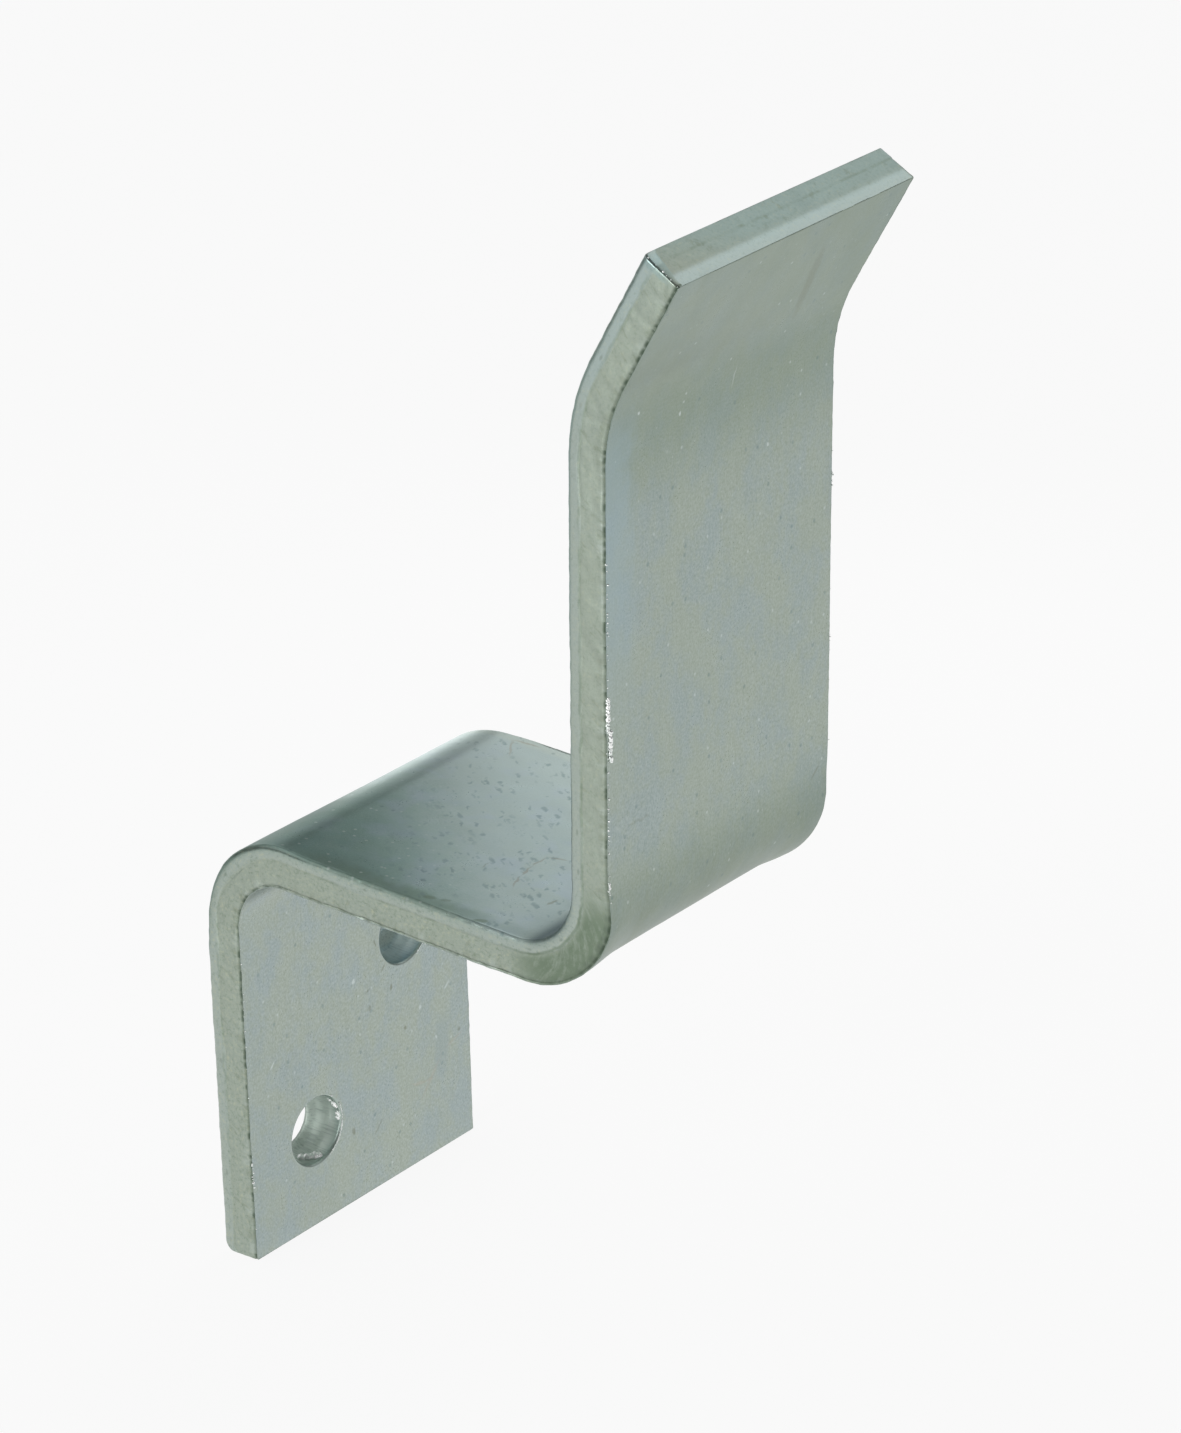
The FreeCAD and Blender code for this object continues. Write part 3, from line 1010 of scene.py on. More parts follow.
class Shader(Tree):
    """A material's node tree, with the patterns that the finishes are mixed from."""

    WANDER = 0.7

    def __init__(self, name: str) -> None:
        """Start an empty material."""
        self.material = bpy.data.materials.new(name)
        self.material.use_nodes = True
        super().__init__(self.material.node_tree)
        self.tree.nodes.clear()
        self.parts = self.node("ShaderNodeSeparateXYZ", {}, {0: self.place((1.0, 1.0, 1.0))})
        across, along, depth = self.axes()
        self.wobble = self.cloud((0.9, 0.9, 0.9), 2.0) - 0.5
        wobble = self.wobble * self.WANDER
        self.warped = self.join(across + wobble, along + wobble, 0.0)
        self.sides = {True: depth.smooth(4.0, 4.5), False: 1 - depth.smooth(0.2, 0.7)}

    def zone(self, zone: Zone) -> Value:
        """Return a zone's weight."""
        return self.value(self.node("ShaderNodeAttribute", {"attribute_name": zone.value}), "Fac")

    def place(self, stretch: tuple[float, float, float]) -> bpy.types.NodeSocket:
        """Return the place on the strip, multiplied by a factor for each direction."""
        place = self.node("ShaderNodeAttribute", {"attribute_name": "place"})
        scaled = self.node("ShaderNodeVectorMath", {"operation": "MULTIPLY"},
                           {0: place.outputs["Vector"], 1: stretch})
        return scaled.outputs[0]

    def axes(self) -> tuple[Value, Value, Value]:
        """Return the places across, along and through the strip."""
        return tuple(self.value(self.parts, number) for number in range(3))

    def join(self, x: object, y: object, z: object) -> bpy.types.NodeSocket:
        """Return a vector of three values."""
        return self.node("ShaderNodeCombineXYZ", {}, {0: x, 1: y, 2: z}).outputs[0]

    def cloud(self, stretch: tuple[float, float, float], detail: float = 2.0,
              rough: float = 0.5) -> Value:
        """Return noise from 0 to 1.

        Args:
            stretch: Waves per millimetre across, along and through the strip.
            detail: Finer waves that are added.
            rough: Strength of the finer waves.

        Returns:
            The noise as a value.
        """
        return self.noise_at(self.place(stretch), detail, rough)

    def noise_at(self, vector: bpy.types.NodeSocket, detail: float = 2.0,
                 rough: float = 0.5) -> Value:
        """Return noise from 0 to 1 at a vector."""
        node = self.node("ShaderNodeTexNoise", {"noise_dimensions": "3D"},
                         {"Vector": vector, "Scale": 1.0, "Detail": detail, "Roughness": rough})
        return self.value(node, "Fac")

    def stroke(self, stroke: "Stroke") -> Value:
        """Return the strength of a stroke on one face, which fades at its sides and ends."""
        (x0, s0), (x1, s1) = stroke.start, stroke.end
        reach = math.hypot(x1 - x0, s1 - s0) / 2 + stroke.width
        own = self.node("ShaderNodeMapping", {"vector_type": "TEXTURE"},
                        {"Vector": self.warped, "Scale": (reach, stroke.width, 1.0),
                         "Location": ((x0 + x1) / 2, (s0 + s1) / 2, 0.0),
                         "Rotation": (0.0, 0.0, math.atan2(s1 - s0, x1 - x0))})
        away = self.node("ShaderNodeVectorMath", {"operation": "LENGTH"}, {0: own.outputs[0]})
        near = self.node("ShaderNodeMapRange", {"interpolation_type": "SMOOTHSTEP"},
                         {"Value": away.outputs["Value"], "From Min": 0.4, "From Max": 1.0,
                          "To Min": stroke.strength, "To Max": 0.0})
        return self.value(near) * self.sides[stroke.front]

    def specks(self, x: object, y: object, size: float, share: float) -> Value:
        """Return 1 on scattered specks.

        Args:
            x: First coordinate, in cells.
            y: Second coordinate, in cells.
            size: Radius of a speck as a share of its cell.
            share: Share of the cells that have a speck.

        Returns:
            The specks as a value.
        """
        cells = self.node("ShaderNodeTexVoronoi", {"feature": "F1", "voronoi_dimensions": "2D"},
                          {"Vector": self.join(x, y, 0.0), "Scale": 1.0})
        away = self.value(cells, "Distance")
        pick = self.node("ShaderNodeSeparateColor", {}, {0: cells.outputs["Color"]})
        chosen = self.value(pick, 0).smooth(1 - share, 1 - share + 0.02)
        return (1 - away.smooth(size * 0.3, size)) * chosen

    def mix(self, factor: object, one: object, other: object) -> Value:
        """Mix two colours."""
        node = self.node("ShaderNodeMix", {"data_type": "RGBA", "clamp_factor": True},
                         {0: factor, 6: self.colour(one), 7: self.colour(other)})
        return self.value(node, 2)

    @staticmethod
    def colour(value: object) -> object:
        """Return a colour as four numbers if it has three."""
        return (*value, 1.0) if isinstance(value, tuple) and len(value) == 3 else value


@dataclass(frozen=True)
class Stroke:
    """A scratch, a smear or a nick on a face.

    Args:
        start: Where it starts, across and along the strip.
        end: Where it ends.
        width: Half its width.
        strength: How strongly its colour covers the zinc.
        front: Whether it is on the front.
        colour: Its colour.
    """

    start: tuple[float, float]
    end: tuple[float, float]
    width: float
    strength: float
    front: bool = False
    colour: Colour = (0.16, 0.17, 0.11)


@dataclass(frozen=True)
class ZincFinish:
    """Zinc plating with a clear passivation on rolled, sheared and bent steel."""

    name: str = "zinc_plating"
    blue: Colour = (0.320, 0.385, 0.382)
    green: Colour = (0.347, 0.398, 0.343)
    warm: Colour = (0.385, 0.395, 0.34)
    # teal and clear are the painted shade and painted light of the shelf.
    teal: Colour = (0.160, 0.300, 0.268)
    clear: Colour = (0.305, 0.395, 0.392)
    torn: Colour = (0.325, 0.375, 0.315)
    smooth: Colour = (0.355, 0.412, 0.370)
    olive: Colour = (0.165, 0.195, 0.12)
    shade: Colour = (0.12, 0.155, 0.12)
    # moss is a greener dark tone in the grain and the torn band, and also painted shade on the
    # front's lip and fold.
    moss: Colour = (0.18, 0.235, 0.17)
    speck: Colour = (0.12, 0.19, 0.195)
    violet: Colour = (0.31, 0.385, 0.47)
    pale: Colour = (0.60, 0.67, 0.66)
    near_dark: Colour = (0.125, 0.20, 0.15)
    # bright, dusk, fold_dark, ridge_dark and far_pale are painted light and painted shade on the
    # shelf and its bends.
    bright: Colour = (0.385, 0.465, 0.45)
    dusk: Colour = (0.085, 0.135, 0.10)
    fold_dark: Colour = (0.04, 0.085, 0.10)
    ridge_dark: Colour = (0.12, 0.17, 0.13)
    far_pale: Colour = (0.46, 0.51, 0.43)
    front_blue: Colour = (0.32, 0.42, 0.455)
    lip_smooth: Colour = (0.37, 0.455, 0.45)
    end_teal: Colour = (0.285, 0.40, 0.40)
    crumb: Colour = (0.44, 0.47, 0.35)
    # ledge_dark is painted shade in the groove behind the burr.
    ledge_dark: Colour = (0.07, 0.10, 0.07)
    bore_pale: Colour = (0.60, 0.68, 0.625)
    # bore_blue is painted shade in the upper bore.
    bore_blue: Colour = (0.41, 0.57, 0.74)
    bore_dark: Colour = (0.22, 0.32, 0.30)
    metallic: float = 1.0
    roughness: float = 0.30
    strokes: tuple[Stroke, ...] = ()

    def build(self) -> bpy.types.Material:
        """Build the material and return it."""
        shader = Shader(self.name)
        zones = {zone: shader.zone(zone) for zone in Zone}
        across, along, depth = shader.axes()
        grain = shader.cloud((4.2, 3.2, 4.2), 3.0, 0.7)
        colour = self._face(shader, across, along, depth, grain)
        mottle = shader.cloud((0.5, 0.42, 0.5), 3.0, 0.62)
        colour = self._top(shader, (across, along, depth), mottle, colour)
        colour = self._front(shader, (across, along, depth), mottle, colour)
        tears = self._tears(shader, across, along, depth)
        colour = self._sheared(shader, zones, (across, along, depth), colour, tears)
        pits = self._pits(shader, across, along, depth)
        colour = shader.mix(pits * (0.3 + mottle * 0.45), colour, self.speck)
        for stroke in self.strokes:
            colour = shader.mix(shader.stroke(stroke), colour, stroke.colour)
        torn, bore = zones[Zone.TORN], zones[Zone.BORE]
        rough = self.roughness + (shader.cloud((0.3, 0.2, 0.3), 2.0) - 0.5) * 0.08
        bend = along.smooth(84.0, 92.0) * (1 - along.smooth(100.0, 106.0))
        rough = rough + (grain - 0.5) * 0.10 + torn * 0.12 + bend * 0.12 + bore * 0.2
        height = grain * 0.6 + tears * torn * 0.4
        height = height + zones[Zone.STRETCHED] * shader.cloud((1.2, 1.2, 1.2), 2.0) * 0.5
        bump = shader.node("ShaderNodeBump", {}, {"Strength": 0.35, "Distance": 0.00005,
                                                  "Height": height})
        surface = shader.node("ShaderNodeBsdfPrincipled", {},
                              {"Base Color": colour, "Roughness": rough,
                               "Metallic": self.metallic, "Normal": bump.outputs[0]})
        shader.node("ShaderNodeOutputMaterial", {}, {"Surface": surface.outputs[0]})
        return shader.material

    def _face(self, shader: Shader, across: Value, along: Value, depth: Value,
              grain: Value) -> Value:
        """Return the colour of the rolled faces: soft bluish and greenish patches."""
        clouds = shader.cloud((0.2, 0.13, 0.2), 3.0, 0.62)
        fine = shader.cloud((1.25, 0.95, 1.25), 3.0, 0.65)
        streaks = shader.cloud((2.6, 0.16, 2.6), 2.0, 0.6)
        bluish = (clouds * 0.7 + fine * 0.3).smooth(0.40, 0.64)
        colour = shader.mix(bluish, self.green, self.blue)
        colour = shader.mix((fine - 0.55).smooth(0.0, 0.2) * 0.22, colour, self.warm)
        colour = shader.mix((0.5 - fine).smooth(0.0, 0.25) * 0.1, colour, self.moss)
        colour = shader.mix(((grain - 0.5) * 1.2 + 0.08).clamped(), colour, self.pale)
        colour = shader.mix((0.45 - grain).smooth(0.0, 0.2) * 0.26, colour, self.shade)
        return shader.mix((0.52 - streaks).smooth(0.0, 0.2) * 0.05, colour, self.shade)

    def _top(self, shader: Shader, places: tuple[Value, ...], mottle: Value,
             colour: Value) -> Value:
        """Return the colour of the bar side, with painted shade and painted light on the shelf and
        its bends.
        """
        across, along, depth = places
        bar_side = 1 - depth.smooth(0.3, 1.2)
        shelf = bar_side * along.smooth(36.0, 44.0) * (1 - along.smooth(98.0, 104.0))
        # Painted shade and painted light: the shelf runs from dark teal near the shelf bend and
        # the near edge to clear towards the upright and the far edge.
        lit = (across * 0.05 + (along - 56.0) * 0.045 + (mottle - 0.5) * 0.8).smooth(-0.5, 0.6)
        colour = shader.mix(shelf * 0.8 * (0.75 + mottle * 0.4), colour,
                            shader.mix(lit, self.teal, self.clear))
        haze = shader.cloud((0.2, 0.16, 0.2), 3.0, 0.6).smooth(0.48, 0.68)
        colour = shader.mix(shelf * haze * 0.32, colour, self.violet)
        edge_jitter = (mottle - 0.5) * 3.4
        near = 1 - (across + 17.9 + edge_jitter * 0.6).smooth(0.0, 1.9)
        near = near * along.smooth(54.0, 64.0) * (1 - along.smooth(78.0, 88.0) * 0.7)
        colour = shader.mix(shelf * near * 0.6, colour, self.near_dark)
        # Painted light: lighter and bluer towards the far edge and towards the upright.
        bright = (across + (along - 60.0) * 0.2).smooth(5.0, 18.0)
        colour = shader.mix(shelf * bright * 0.5, colour, self.bright)
        # Painted shade: darker at the shelf's end by the shelf bend, most on its near half.
        dusk = (1 - along.smooth(50.0, 57.0)) * (1 - (across + edge_jitter).smooth(-8.0, 13.0))
        colour = shader.mix(shelf * dusk * 0.75, colour, self.dusk)
        # Painted shade inside the upright's bend on the bar side.
        fold = along.smooth(88.4, 91.6) * (1 - along.smooth(96.0, 103.0))
        colour = shader.mix(bar_side * fold * 0.9, colour, self.fold_dark)
        # Painted shade: darker over the shelf bend's crest.
        ridge = 1 - along.smooth(46.4, 50.2)
        colour = shader.mix(shelf * ridge * 0.55, colour, self.ridge_dark)
        # Painted light: lighter along the shelf's far edge.
        far = (across + edge_jitter * 0.15).smooth(17.0, 17.9)
        colour = shader.mix(shelf * far * 0.3, colour, self.far_pale)
        dots = shader.specks(across * 0.8, along * 0.6, 0.16, 0.2) * (1 - lit)
        return shader.mix(shelf * dots * 0.4, colour, self.pale)

    def _front(self, shader: Shader, places: tuple[Value, ...], mottle: Value,
               colour: Value) -> Value:
        """Return the colour with painted shade darkening the lip and the fold, and the pale dots
        of the front.
        """
        across, along, depth = places
        front = depth.smooth(3.6, 4.4)
        # Painted shade: the front darkens a little up the upright, more on the lip, and over the
        # upright's bend.
        lip = along.smooth(140.0, 156.0) * 0.46 + along.smooth(100.0, 112.0) * 0.12
        fold = along.smooth(84.0, 90.0) * (1 - along.smooth(98.0, 111.0)) * 0.6
        colour = shader.mix(front * (lip + fold) * (0.8 + mottle * 0.4), colour, self.moss)
        edge = 1 - (across + 17.5 + (mottle - 0.5) * 5.0).smooth(0.0, 5.0)
        upright = along.smooth(118.0, 140.0) * (1 - along.smooth(150.0, 158.0)) * 0.46 + 0.06
        colour = shader.mix(front * edge * upright, colour, self.front_blue)
        dots = shader.specks(across * 0.45, along * 0.4, 0.1, 0.1)
        dots = dots.larger(shader.specks(across * 1.1, along * 0.8, 0.16, 0.05) * 0.5)
        return shader.mix(front * dots * 0.4, colour, self.pale)

    @staticmethod
    def _tears(shader: Shader, across: Value, along: Value, depth: Value) -> Value:
        """Return tear marks through the thickness, which lean along the strip."""
        slanted = shader.join(across * 1.2, along * 1.5 + depth * 0.9, depth * 0.42)
        return shader.noise_at(slanted, 3.0, 0.55)

    def _sheared(self, shader: Shader, zones: dict[Zone, Value], places: tuple[Value, ...],
                 colour: Value, tears: Value) -> Value:
        """Return the colour with the bands of the sheared edges and the bores laid over it."""
        sheared, torn, folded = zones[Zone.SHEARED], zones[Zone.TORN], zones[Zone.FOLDED]
        across, along, depth = places
        blotches = shader.cloud((0.5, 0.5, 0.7), 2.0)
        fine = shader.cloud((2.2, 2.0, 2.2), 3.0, 0.6)
        colour = shader.mix(torn * 0.85, colour, self.torn)
        colour = shader.mix(zones[Zone.BURNISHED] * 0.75, colour, self.smooth)
        lip = along.smooth(152.0, 162.0) * sheared
        colour = shader.mix(lip * zones[Zone.BURNISHED] * 0.6, colour, self.lip_smooth)
        end = along.smooth(174.2, 174.6) * sheared * (1 - depth.smooth(2.2, 4.6))
        colour = shader.mix(end * 0.55, colour, self.end_teal)
        tear = (0.46 - tears).smooth(0.0, 0.12) * blotches.smooth(0.42, 0.62)
        colour = shader.mix(torn * tear * 0.26, colour, self.olive)
        colour = shader.mix(torn * (fine - 0.5).smooth(0.0, 0.3) * 0.26, colour, self.moss)
        crumbs = shader.cloud((2.6, 2.0, 2.6), 3.0, 0.75)
        low = 1 + (1 - along.smooth(86.0, 112.0)) * 1.1
        colour = shader.mix(sheared * low * (crumbs - 0.52).smooth(0.0, 0.2) * 0.32, colour,
                            self.crumb)
        colour = shader.mix(sheared * low * (0.49 - crumbs).smooth(0.0, 0.2) * 0.26, colour,
                            self.moss)
        teeth = shader.cloud((0.0, 0.8, 0.12), 2.0, 0.5)
        root = (depth + (blotches - 0.5) * 2.4).smooth(3.2, 4.3)
        tooth = torn * root
        colour = shader.mix(tooth * (0.5 - teeth).smooth(0.0, 0.12) * 0.22, colour, self.olive)
        colour = shader.mix(tooth * (teeth - 0.55).smooth(0.0, 0.1) * 0.14, colour, self.pale)
        fold = torn * folded * depth.smooth(1.2, 2.4)
        folds = shader.join(across * 0.5, along * 1.2 + depth * 1.4, depth * 0.5)
        creases = shader.noise_at(folds, 3.0, 0.7)
        creases = creases * 0.6 + crumbs * 0.4
        colour = shader.mix(fold * ((creases - 0.5) * 4.0 + 0.9).clamped(), colour, self.moss)
        waver = (shader.cloud((0.0, 0.35, 0.0), 3.0, 0.6) - 0.5) * 0.7
        line = 1 - (depth - 1.52 - waver).size().smooth(0.04, 0.28)
        upright = along.smooth(86.0, 92.0) * (1 - along.smooth(134.0, 152.0))
        weight = 0.1 + blotches.smooth(0.45, 0.6) * 0.25 + folded * 0.35 + upright * 0.2
        colour = shader.mix(line * sheared * weight, colour, self.moss)
        spots = shader.specks(depth * 0.9, along * 0.42, 0.2, 0.15) * zones[Zone.BURNISHED]
        colour = shader.mix(spots * (1 - zones[Zone.BORE]) * 0.35, colour, self.shade)
        # Painted shade of the undercut behind the burr: dark dashes along the front edge of the
        # torn band, on the ledge rows and on the near edges of the end faces.
        beads = shader.specks(along * 1.05, across * 0.2, 0.6, 0.7)
        bold = 1 - along.smooth(45.0, 52.0) * (1 - along.smooth(92.0, 100.0)) * 0.6
        brink = depth.smooth(4.15, 4.5) * sheared * torn * (0.15 + beads * 0.4) * bold
        colour = shader.mix(brink, colour, self.shade)
        ledge = zones[Zone.LEDGE] * (0.4 + beads * 0.5) * bold
        colour = shader.mix(ledge.clamped(), colour, self.ledge_dark)
        return self._bore(shader, zones[Zone.BORE], along, depth, colour)

    def _bore(self, shader: Shader, bore: Value, along: Value, depth: Value,
              colour: Value) -> Value:
        """Return the colour with the streaks that the punch leaves through a bore, and painted
        shade in the upper bore.
        """
        streaks = shader.cloud((5.0, 5.0, 0.3), 3.0, 0.6)
        colour = shader.mix(bore * 0.9, colour, self.bore_pale)
        colour = shader.mix(bore * streaks.smooth(0.46, 0.7) * 0.28, colour, self.speck)
        colour = shader.mix(bore * (0.44 - streaks).smooth(0.0, 0.15) * 0.25, colour, self.pale)
        # Painted shade: the upper bore is tinted darker and bluer than the lower one.
        upper = bore * along.smooth(28.0, 31.0)
        colour = shader.mix(upper * 0.75, colour, self.bore_blue)
        return shader.mix(bore * depth.smooth(3.4, 4.6) * 0.45, colour, self.bore_dark)

    @staticmethod
    def _pits(shader: Shader, across: Value, along: Value, depth: Value) -> Value:
        """Return 1 in the small pits, most of them on the shelf towards the upright."""
        bent = shader.wobble * 1.3
        away = along * 0.3 - across * 0.37 + bent
        aside = along * 0.72 + across * 0.58 + bent
        crowd = shader.specks(away, aside, 0.34, 0.34)
        small = shader.specks(away * 1.7 + 7.0, aside * 1.7, 0.34, 0.22)
        lone = shader.specks(across * 0.5, along * 0.45, 0.15, 0.12)
        shelf = (1 - depth.smooth(0.1, 0.6)) * (1 - along.smooth(88.0, 97.0))
        shelf = shelf * (along + across * 0.5).smooth(54.0, 66.0)
        patch = shader.cloud((0.16, 0.16, 0.16), 1.0).smooth(0.34, 0.5)
        return (crowd.larger(small * 0.7) * shelf * patch).larger(lone * 0.7)


@dataclass(frozen=True)
class GrainFinish:
    """Bare, bright zinc on the grains and burrs that stand proud of the edges."""

    name: str = "bright_zinc"
    light: Colour = (0.97, 0.98, 0.97)
    dull: Colour = (0.80, 0.85, 0.82)
    roughness: float = 0.38

    def build(self) -> bpy.types.Material:
        """Build the material and return it."""
        shader = Shader(self.name)
        place = shader.node("ShaderNodeTexCoord").outputs["Object"]
        spread_out = shader.node("ShaderNodeVectorMath", {"operation": "SCALE"},
                                 {0: place, "Scale": 1600.0})
        cloud = shader.noise_at(spread_out.outputs[0], 2.0, 0.6)
        colour = shader.mix(cloud.smooth(0.42, 0.58), self.light, self.dull)
        surface = shader.node("ShaderNodeBsdfPrincipled", {},
                              {"Base Color": colour, "Metallic": 1.0,
                               "Roughness": self.roughness + (cloud - 0.5) * 0.2})
        shader.node("ShaderNodeOutputMaterial", {}, {"Surface": surface.outputs[0]})
        return shader.material


@dataclass(frozen=True)
class GrainRun:
    """A run of grains along a line.

    Args:
        line: Points of the line, in metres.
        spacing: Distance between the places where a grain may be, in millimetres.
        share: Share of the places that have one.
        small: Radius of the smallest grain.
        large: Radius of the largest grain.
        stray: How far a grain may be from the line.
    """

    line: np.ndarray
    spacing: float
    share: float
    small: float
    large: float
    stray: float = 0.05


class Grains:
    """Grains of zinc that Geometry Nodes sets along lines."""

    SEED = 7

    def __init__(self, material: bpy.types.Material) -> None:
        """Build the node group."""
        self.material = material
        self.group = self._group()

    def _group(self) -> bpy.types.GeometryNodeTree:
        """Build the group that sets a grain at points along every line."""
        group = bpy.data.node_groups.new("grains_along_lines", "GeometryNodeTree")
        for name, kind in (("Geometry", "NodeSocketGeometry"), ("Spacing", "NodeSocketFloat"),
                           ("Share", "NodeSocketFloat"), ("Small", "NodeSocketFloat"),
                           ("Large", "NodeSocketFloat"), ("Stray", "NodeSocketFloat"),
                           ("Seed", "NodeSocketInt"), ("Material", "NodeSocketMaterial")):
            group.interface.new_socket(name, in_out="INPUT", socket_type=kind)
        group.interface.new_socket("Geometry", in_out="OUTPUT", socket_type="NodeSocketGeometry")
        tree = Tree(group)
        given = tree.node("NodeGroupInput").outputs
        curve = tree.node("GeometryNodeMeshToCurve", {}, {"Mesh": given["Geometry"]})
        points = tree.node("GeometryNodeResampleCurve", {"mode": "LENGTH"},
                           {"Curve": curve.outputs[0], "Length": given["Spacing"]})
        stray = given["Stray"]
        low = tree.node("ShaderNodeMath", {"operation": "MULTIPLY"}, {0: stray, 1: -1.0})
        shift = tree.node("FunctionNodeRandomValue", {"data_type": "FLOAT_VECTOR"},
                          {0: low.outputs[0], 1: stray, 8: given["Seed"]})
        moved = tree.node("GeometryNodeSetPosition", {},
                          {"Geometry": points.outputs[0], "Offset": shift.outputs[0]})
        kept = tree.node("FunctionNodeRandomValue", {"data_type": "BOOLEAN"},
                         {6: given["Share"], 8: given["Seed"]})
        size = tree.node("FunctionNodeRandomValue", {"data_type": "FLOAT"},
                         {2: given["Small"], 3: given["Large"], 8: given["Seed"]})
        turn = tree.node("FunctionNodeRandomValue", {"data_type": "FLOAT_VECTOR"},
                         {1: (6.283, 6.283, 6.283), 8: given["Seed"]})
        squash = tree.node("FunctionNodeRandomValue", {"data_type": "FLOAT_VECTOR"},
                           {0: (0.55, 0.55, 0.55), 1: (1.0, 1.0, 1.0), 8: given["Seed"]})
        scale = tree.node("ShaderNodeVectorMath", {"operation": "SCALE"},
                          {0: squash.outputs[0], "Scale": size.outputs[1]})
        ball = tree.node("GeometryNodeMeshIcoSphere", {}, {"Radius": 1.0, "Subdivisions": 2})
        set_out = tree.node("GeometryNodeInstanceOnPoints", {},
                            {"Points": moved.outputs[0], "Selection": kept.outputs[3],
                             "Instance": ball.outputs[0], "Rotation": turn.outputs[0],
                             "Scale": scale.outputs[0]})
        real = tree.node("GeometryNodeRealizeInstances", {}, {0: set_out.outputs[0]})
        smooth = tree.node("GeometryNodeSetShadeSmooth", {}, {0: real.outputs[0]})
        dressed = tree.node("GeometryNodeSetMaterial", {},
                            {"Geometry": smooth.outputs[0], "Material": given["Material"]})
        tree.node("NodeGroupOutput", {}, {0: dressed.outputs[0]})
        return group

    def lay(self, name: str, runs: list[GrainRun]) -> bpy.types.Object:
        """Set grains along each run and join them into one object."""
        work = bmesh.new()
        for number, run in enumerate(runs):
            mesh = self._run_mesh(run, self.SEED + number)
            work.from_mesh(mesh)
            bpy.data.meshes.remove(mesh)
        joined = bpy.data.meshes.new(name)
        work.to_mesh(joined)
        work.free()
        joined.shade_smooth()
        joined.materials.append(self.material)
        piece = bpy.data.objects.new(name, joined)
        bpy.context.scene.collection.objects.link(piece)
        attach(piece, BODY)
        return piece

    def _run_mesh(self, run: GrainRun, seed: int) -> bpy.types.Mesh:
        """Return the plain mesh of one run's grains."""
        guide = bpy.data.meshes.new("guide")
        edges = [(k, k + 1) for k in range(len(run.line) - 1)]
        guide.from_pydata(run.line.tolist(), edges, [])
        carrier = bpy.data.objects.new("guide", guide)
        bpy.context.scene.collection.objects.link(carrier)
        modifier = carrier.modifiers.new("grains", "NODES")
        modifier.node_group = self.group
        values = {"Spacing": run.spacing * METRES, "Share": run.share,
                  "Small": run.small * METRES, "Large": run.large * METRES,
                  "Stray": run.stray * METRES, "Seed": seed, "Material": self.material}
        for item in self.group.interface.items_tree:
            if item.in_out == "INPUT" and item.name in values:
                modifier[item.identifier] = values[item.name]
        bpy.context.view_layer.update()
        graph = bpy.context.evaluated_depsgraph_get()
        mesh = bpy.data.meshes.new_from_object(carrier.evaluated_get(graph))
        bpy.data.objects.remove(carrier)
        bpy.data.meshes.remove(guide)
        return mesh


@dataclass(frozen=True)
class Lamp:
    """A soft lamp that is aimed at the bracket.

    Args:
        name: What it is called.
        azimuth: Its bearing, 0 in front of the bracket and positive towards +X.
        elevation: Its height above the floor as an angle.
        distance: Its distance from the bracket, in millimetres.
        size: The side of its square face.
        strength: The light that its face gives off, where 1 is white.
        colour: The colour of its light.
        tall: Its height as a share of its width.
    """

    name: str
    azimuth: float
    elevation: float
    distance: float
    size: float
    strength: float
    colour: Colour = (1.0, 1.0, 1.0)
    tall: float = 1.0

    AIM = Vector((0.0, -33.0, 40.0))

    def build(self) -> bpy.types.Object:
        """Add the lamp to the scene."""
        lamp = bpy.data.lights.new(self.name, "AREA")
        lamp.shape = "RECTANGLE"
        lamp.size = self.size * METRES
        lamp.size_y = self.size * self.tall * METRES
        lamp.energy = self.strength * math.pi * lamp.size * lamp.size_y
        lamp.color = self.colour
        side = direction(self.azimuth, self.elevation)
        spot = bpy.data.objects.new(self.name, lamp)
        spot.location = (self.AIM + side * self.distance) * METRES
        spot.rotation_euler = side.to_track_quat("Z", "Y").to_euler()
        spot.visible_camera = False
        bpy.context.scene.collection.objects.link(spot)
        return spot


def direction(azimuth: float, elevation: float) -> Vector:
    """Return the unit vector of a bearing and a height, both in degrees."""
    turn, rise = math.radians(azimuth), math.radians(elevation)
    return Vector((math.sin(turn) * math.cos(rise), -math.cos(turn) * math.cos(rise),
                   math.sin(rise)))


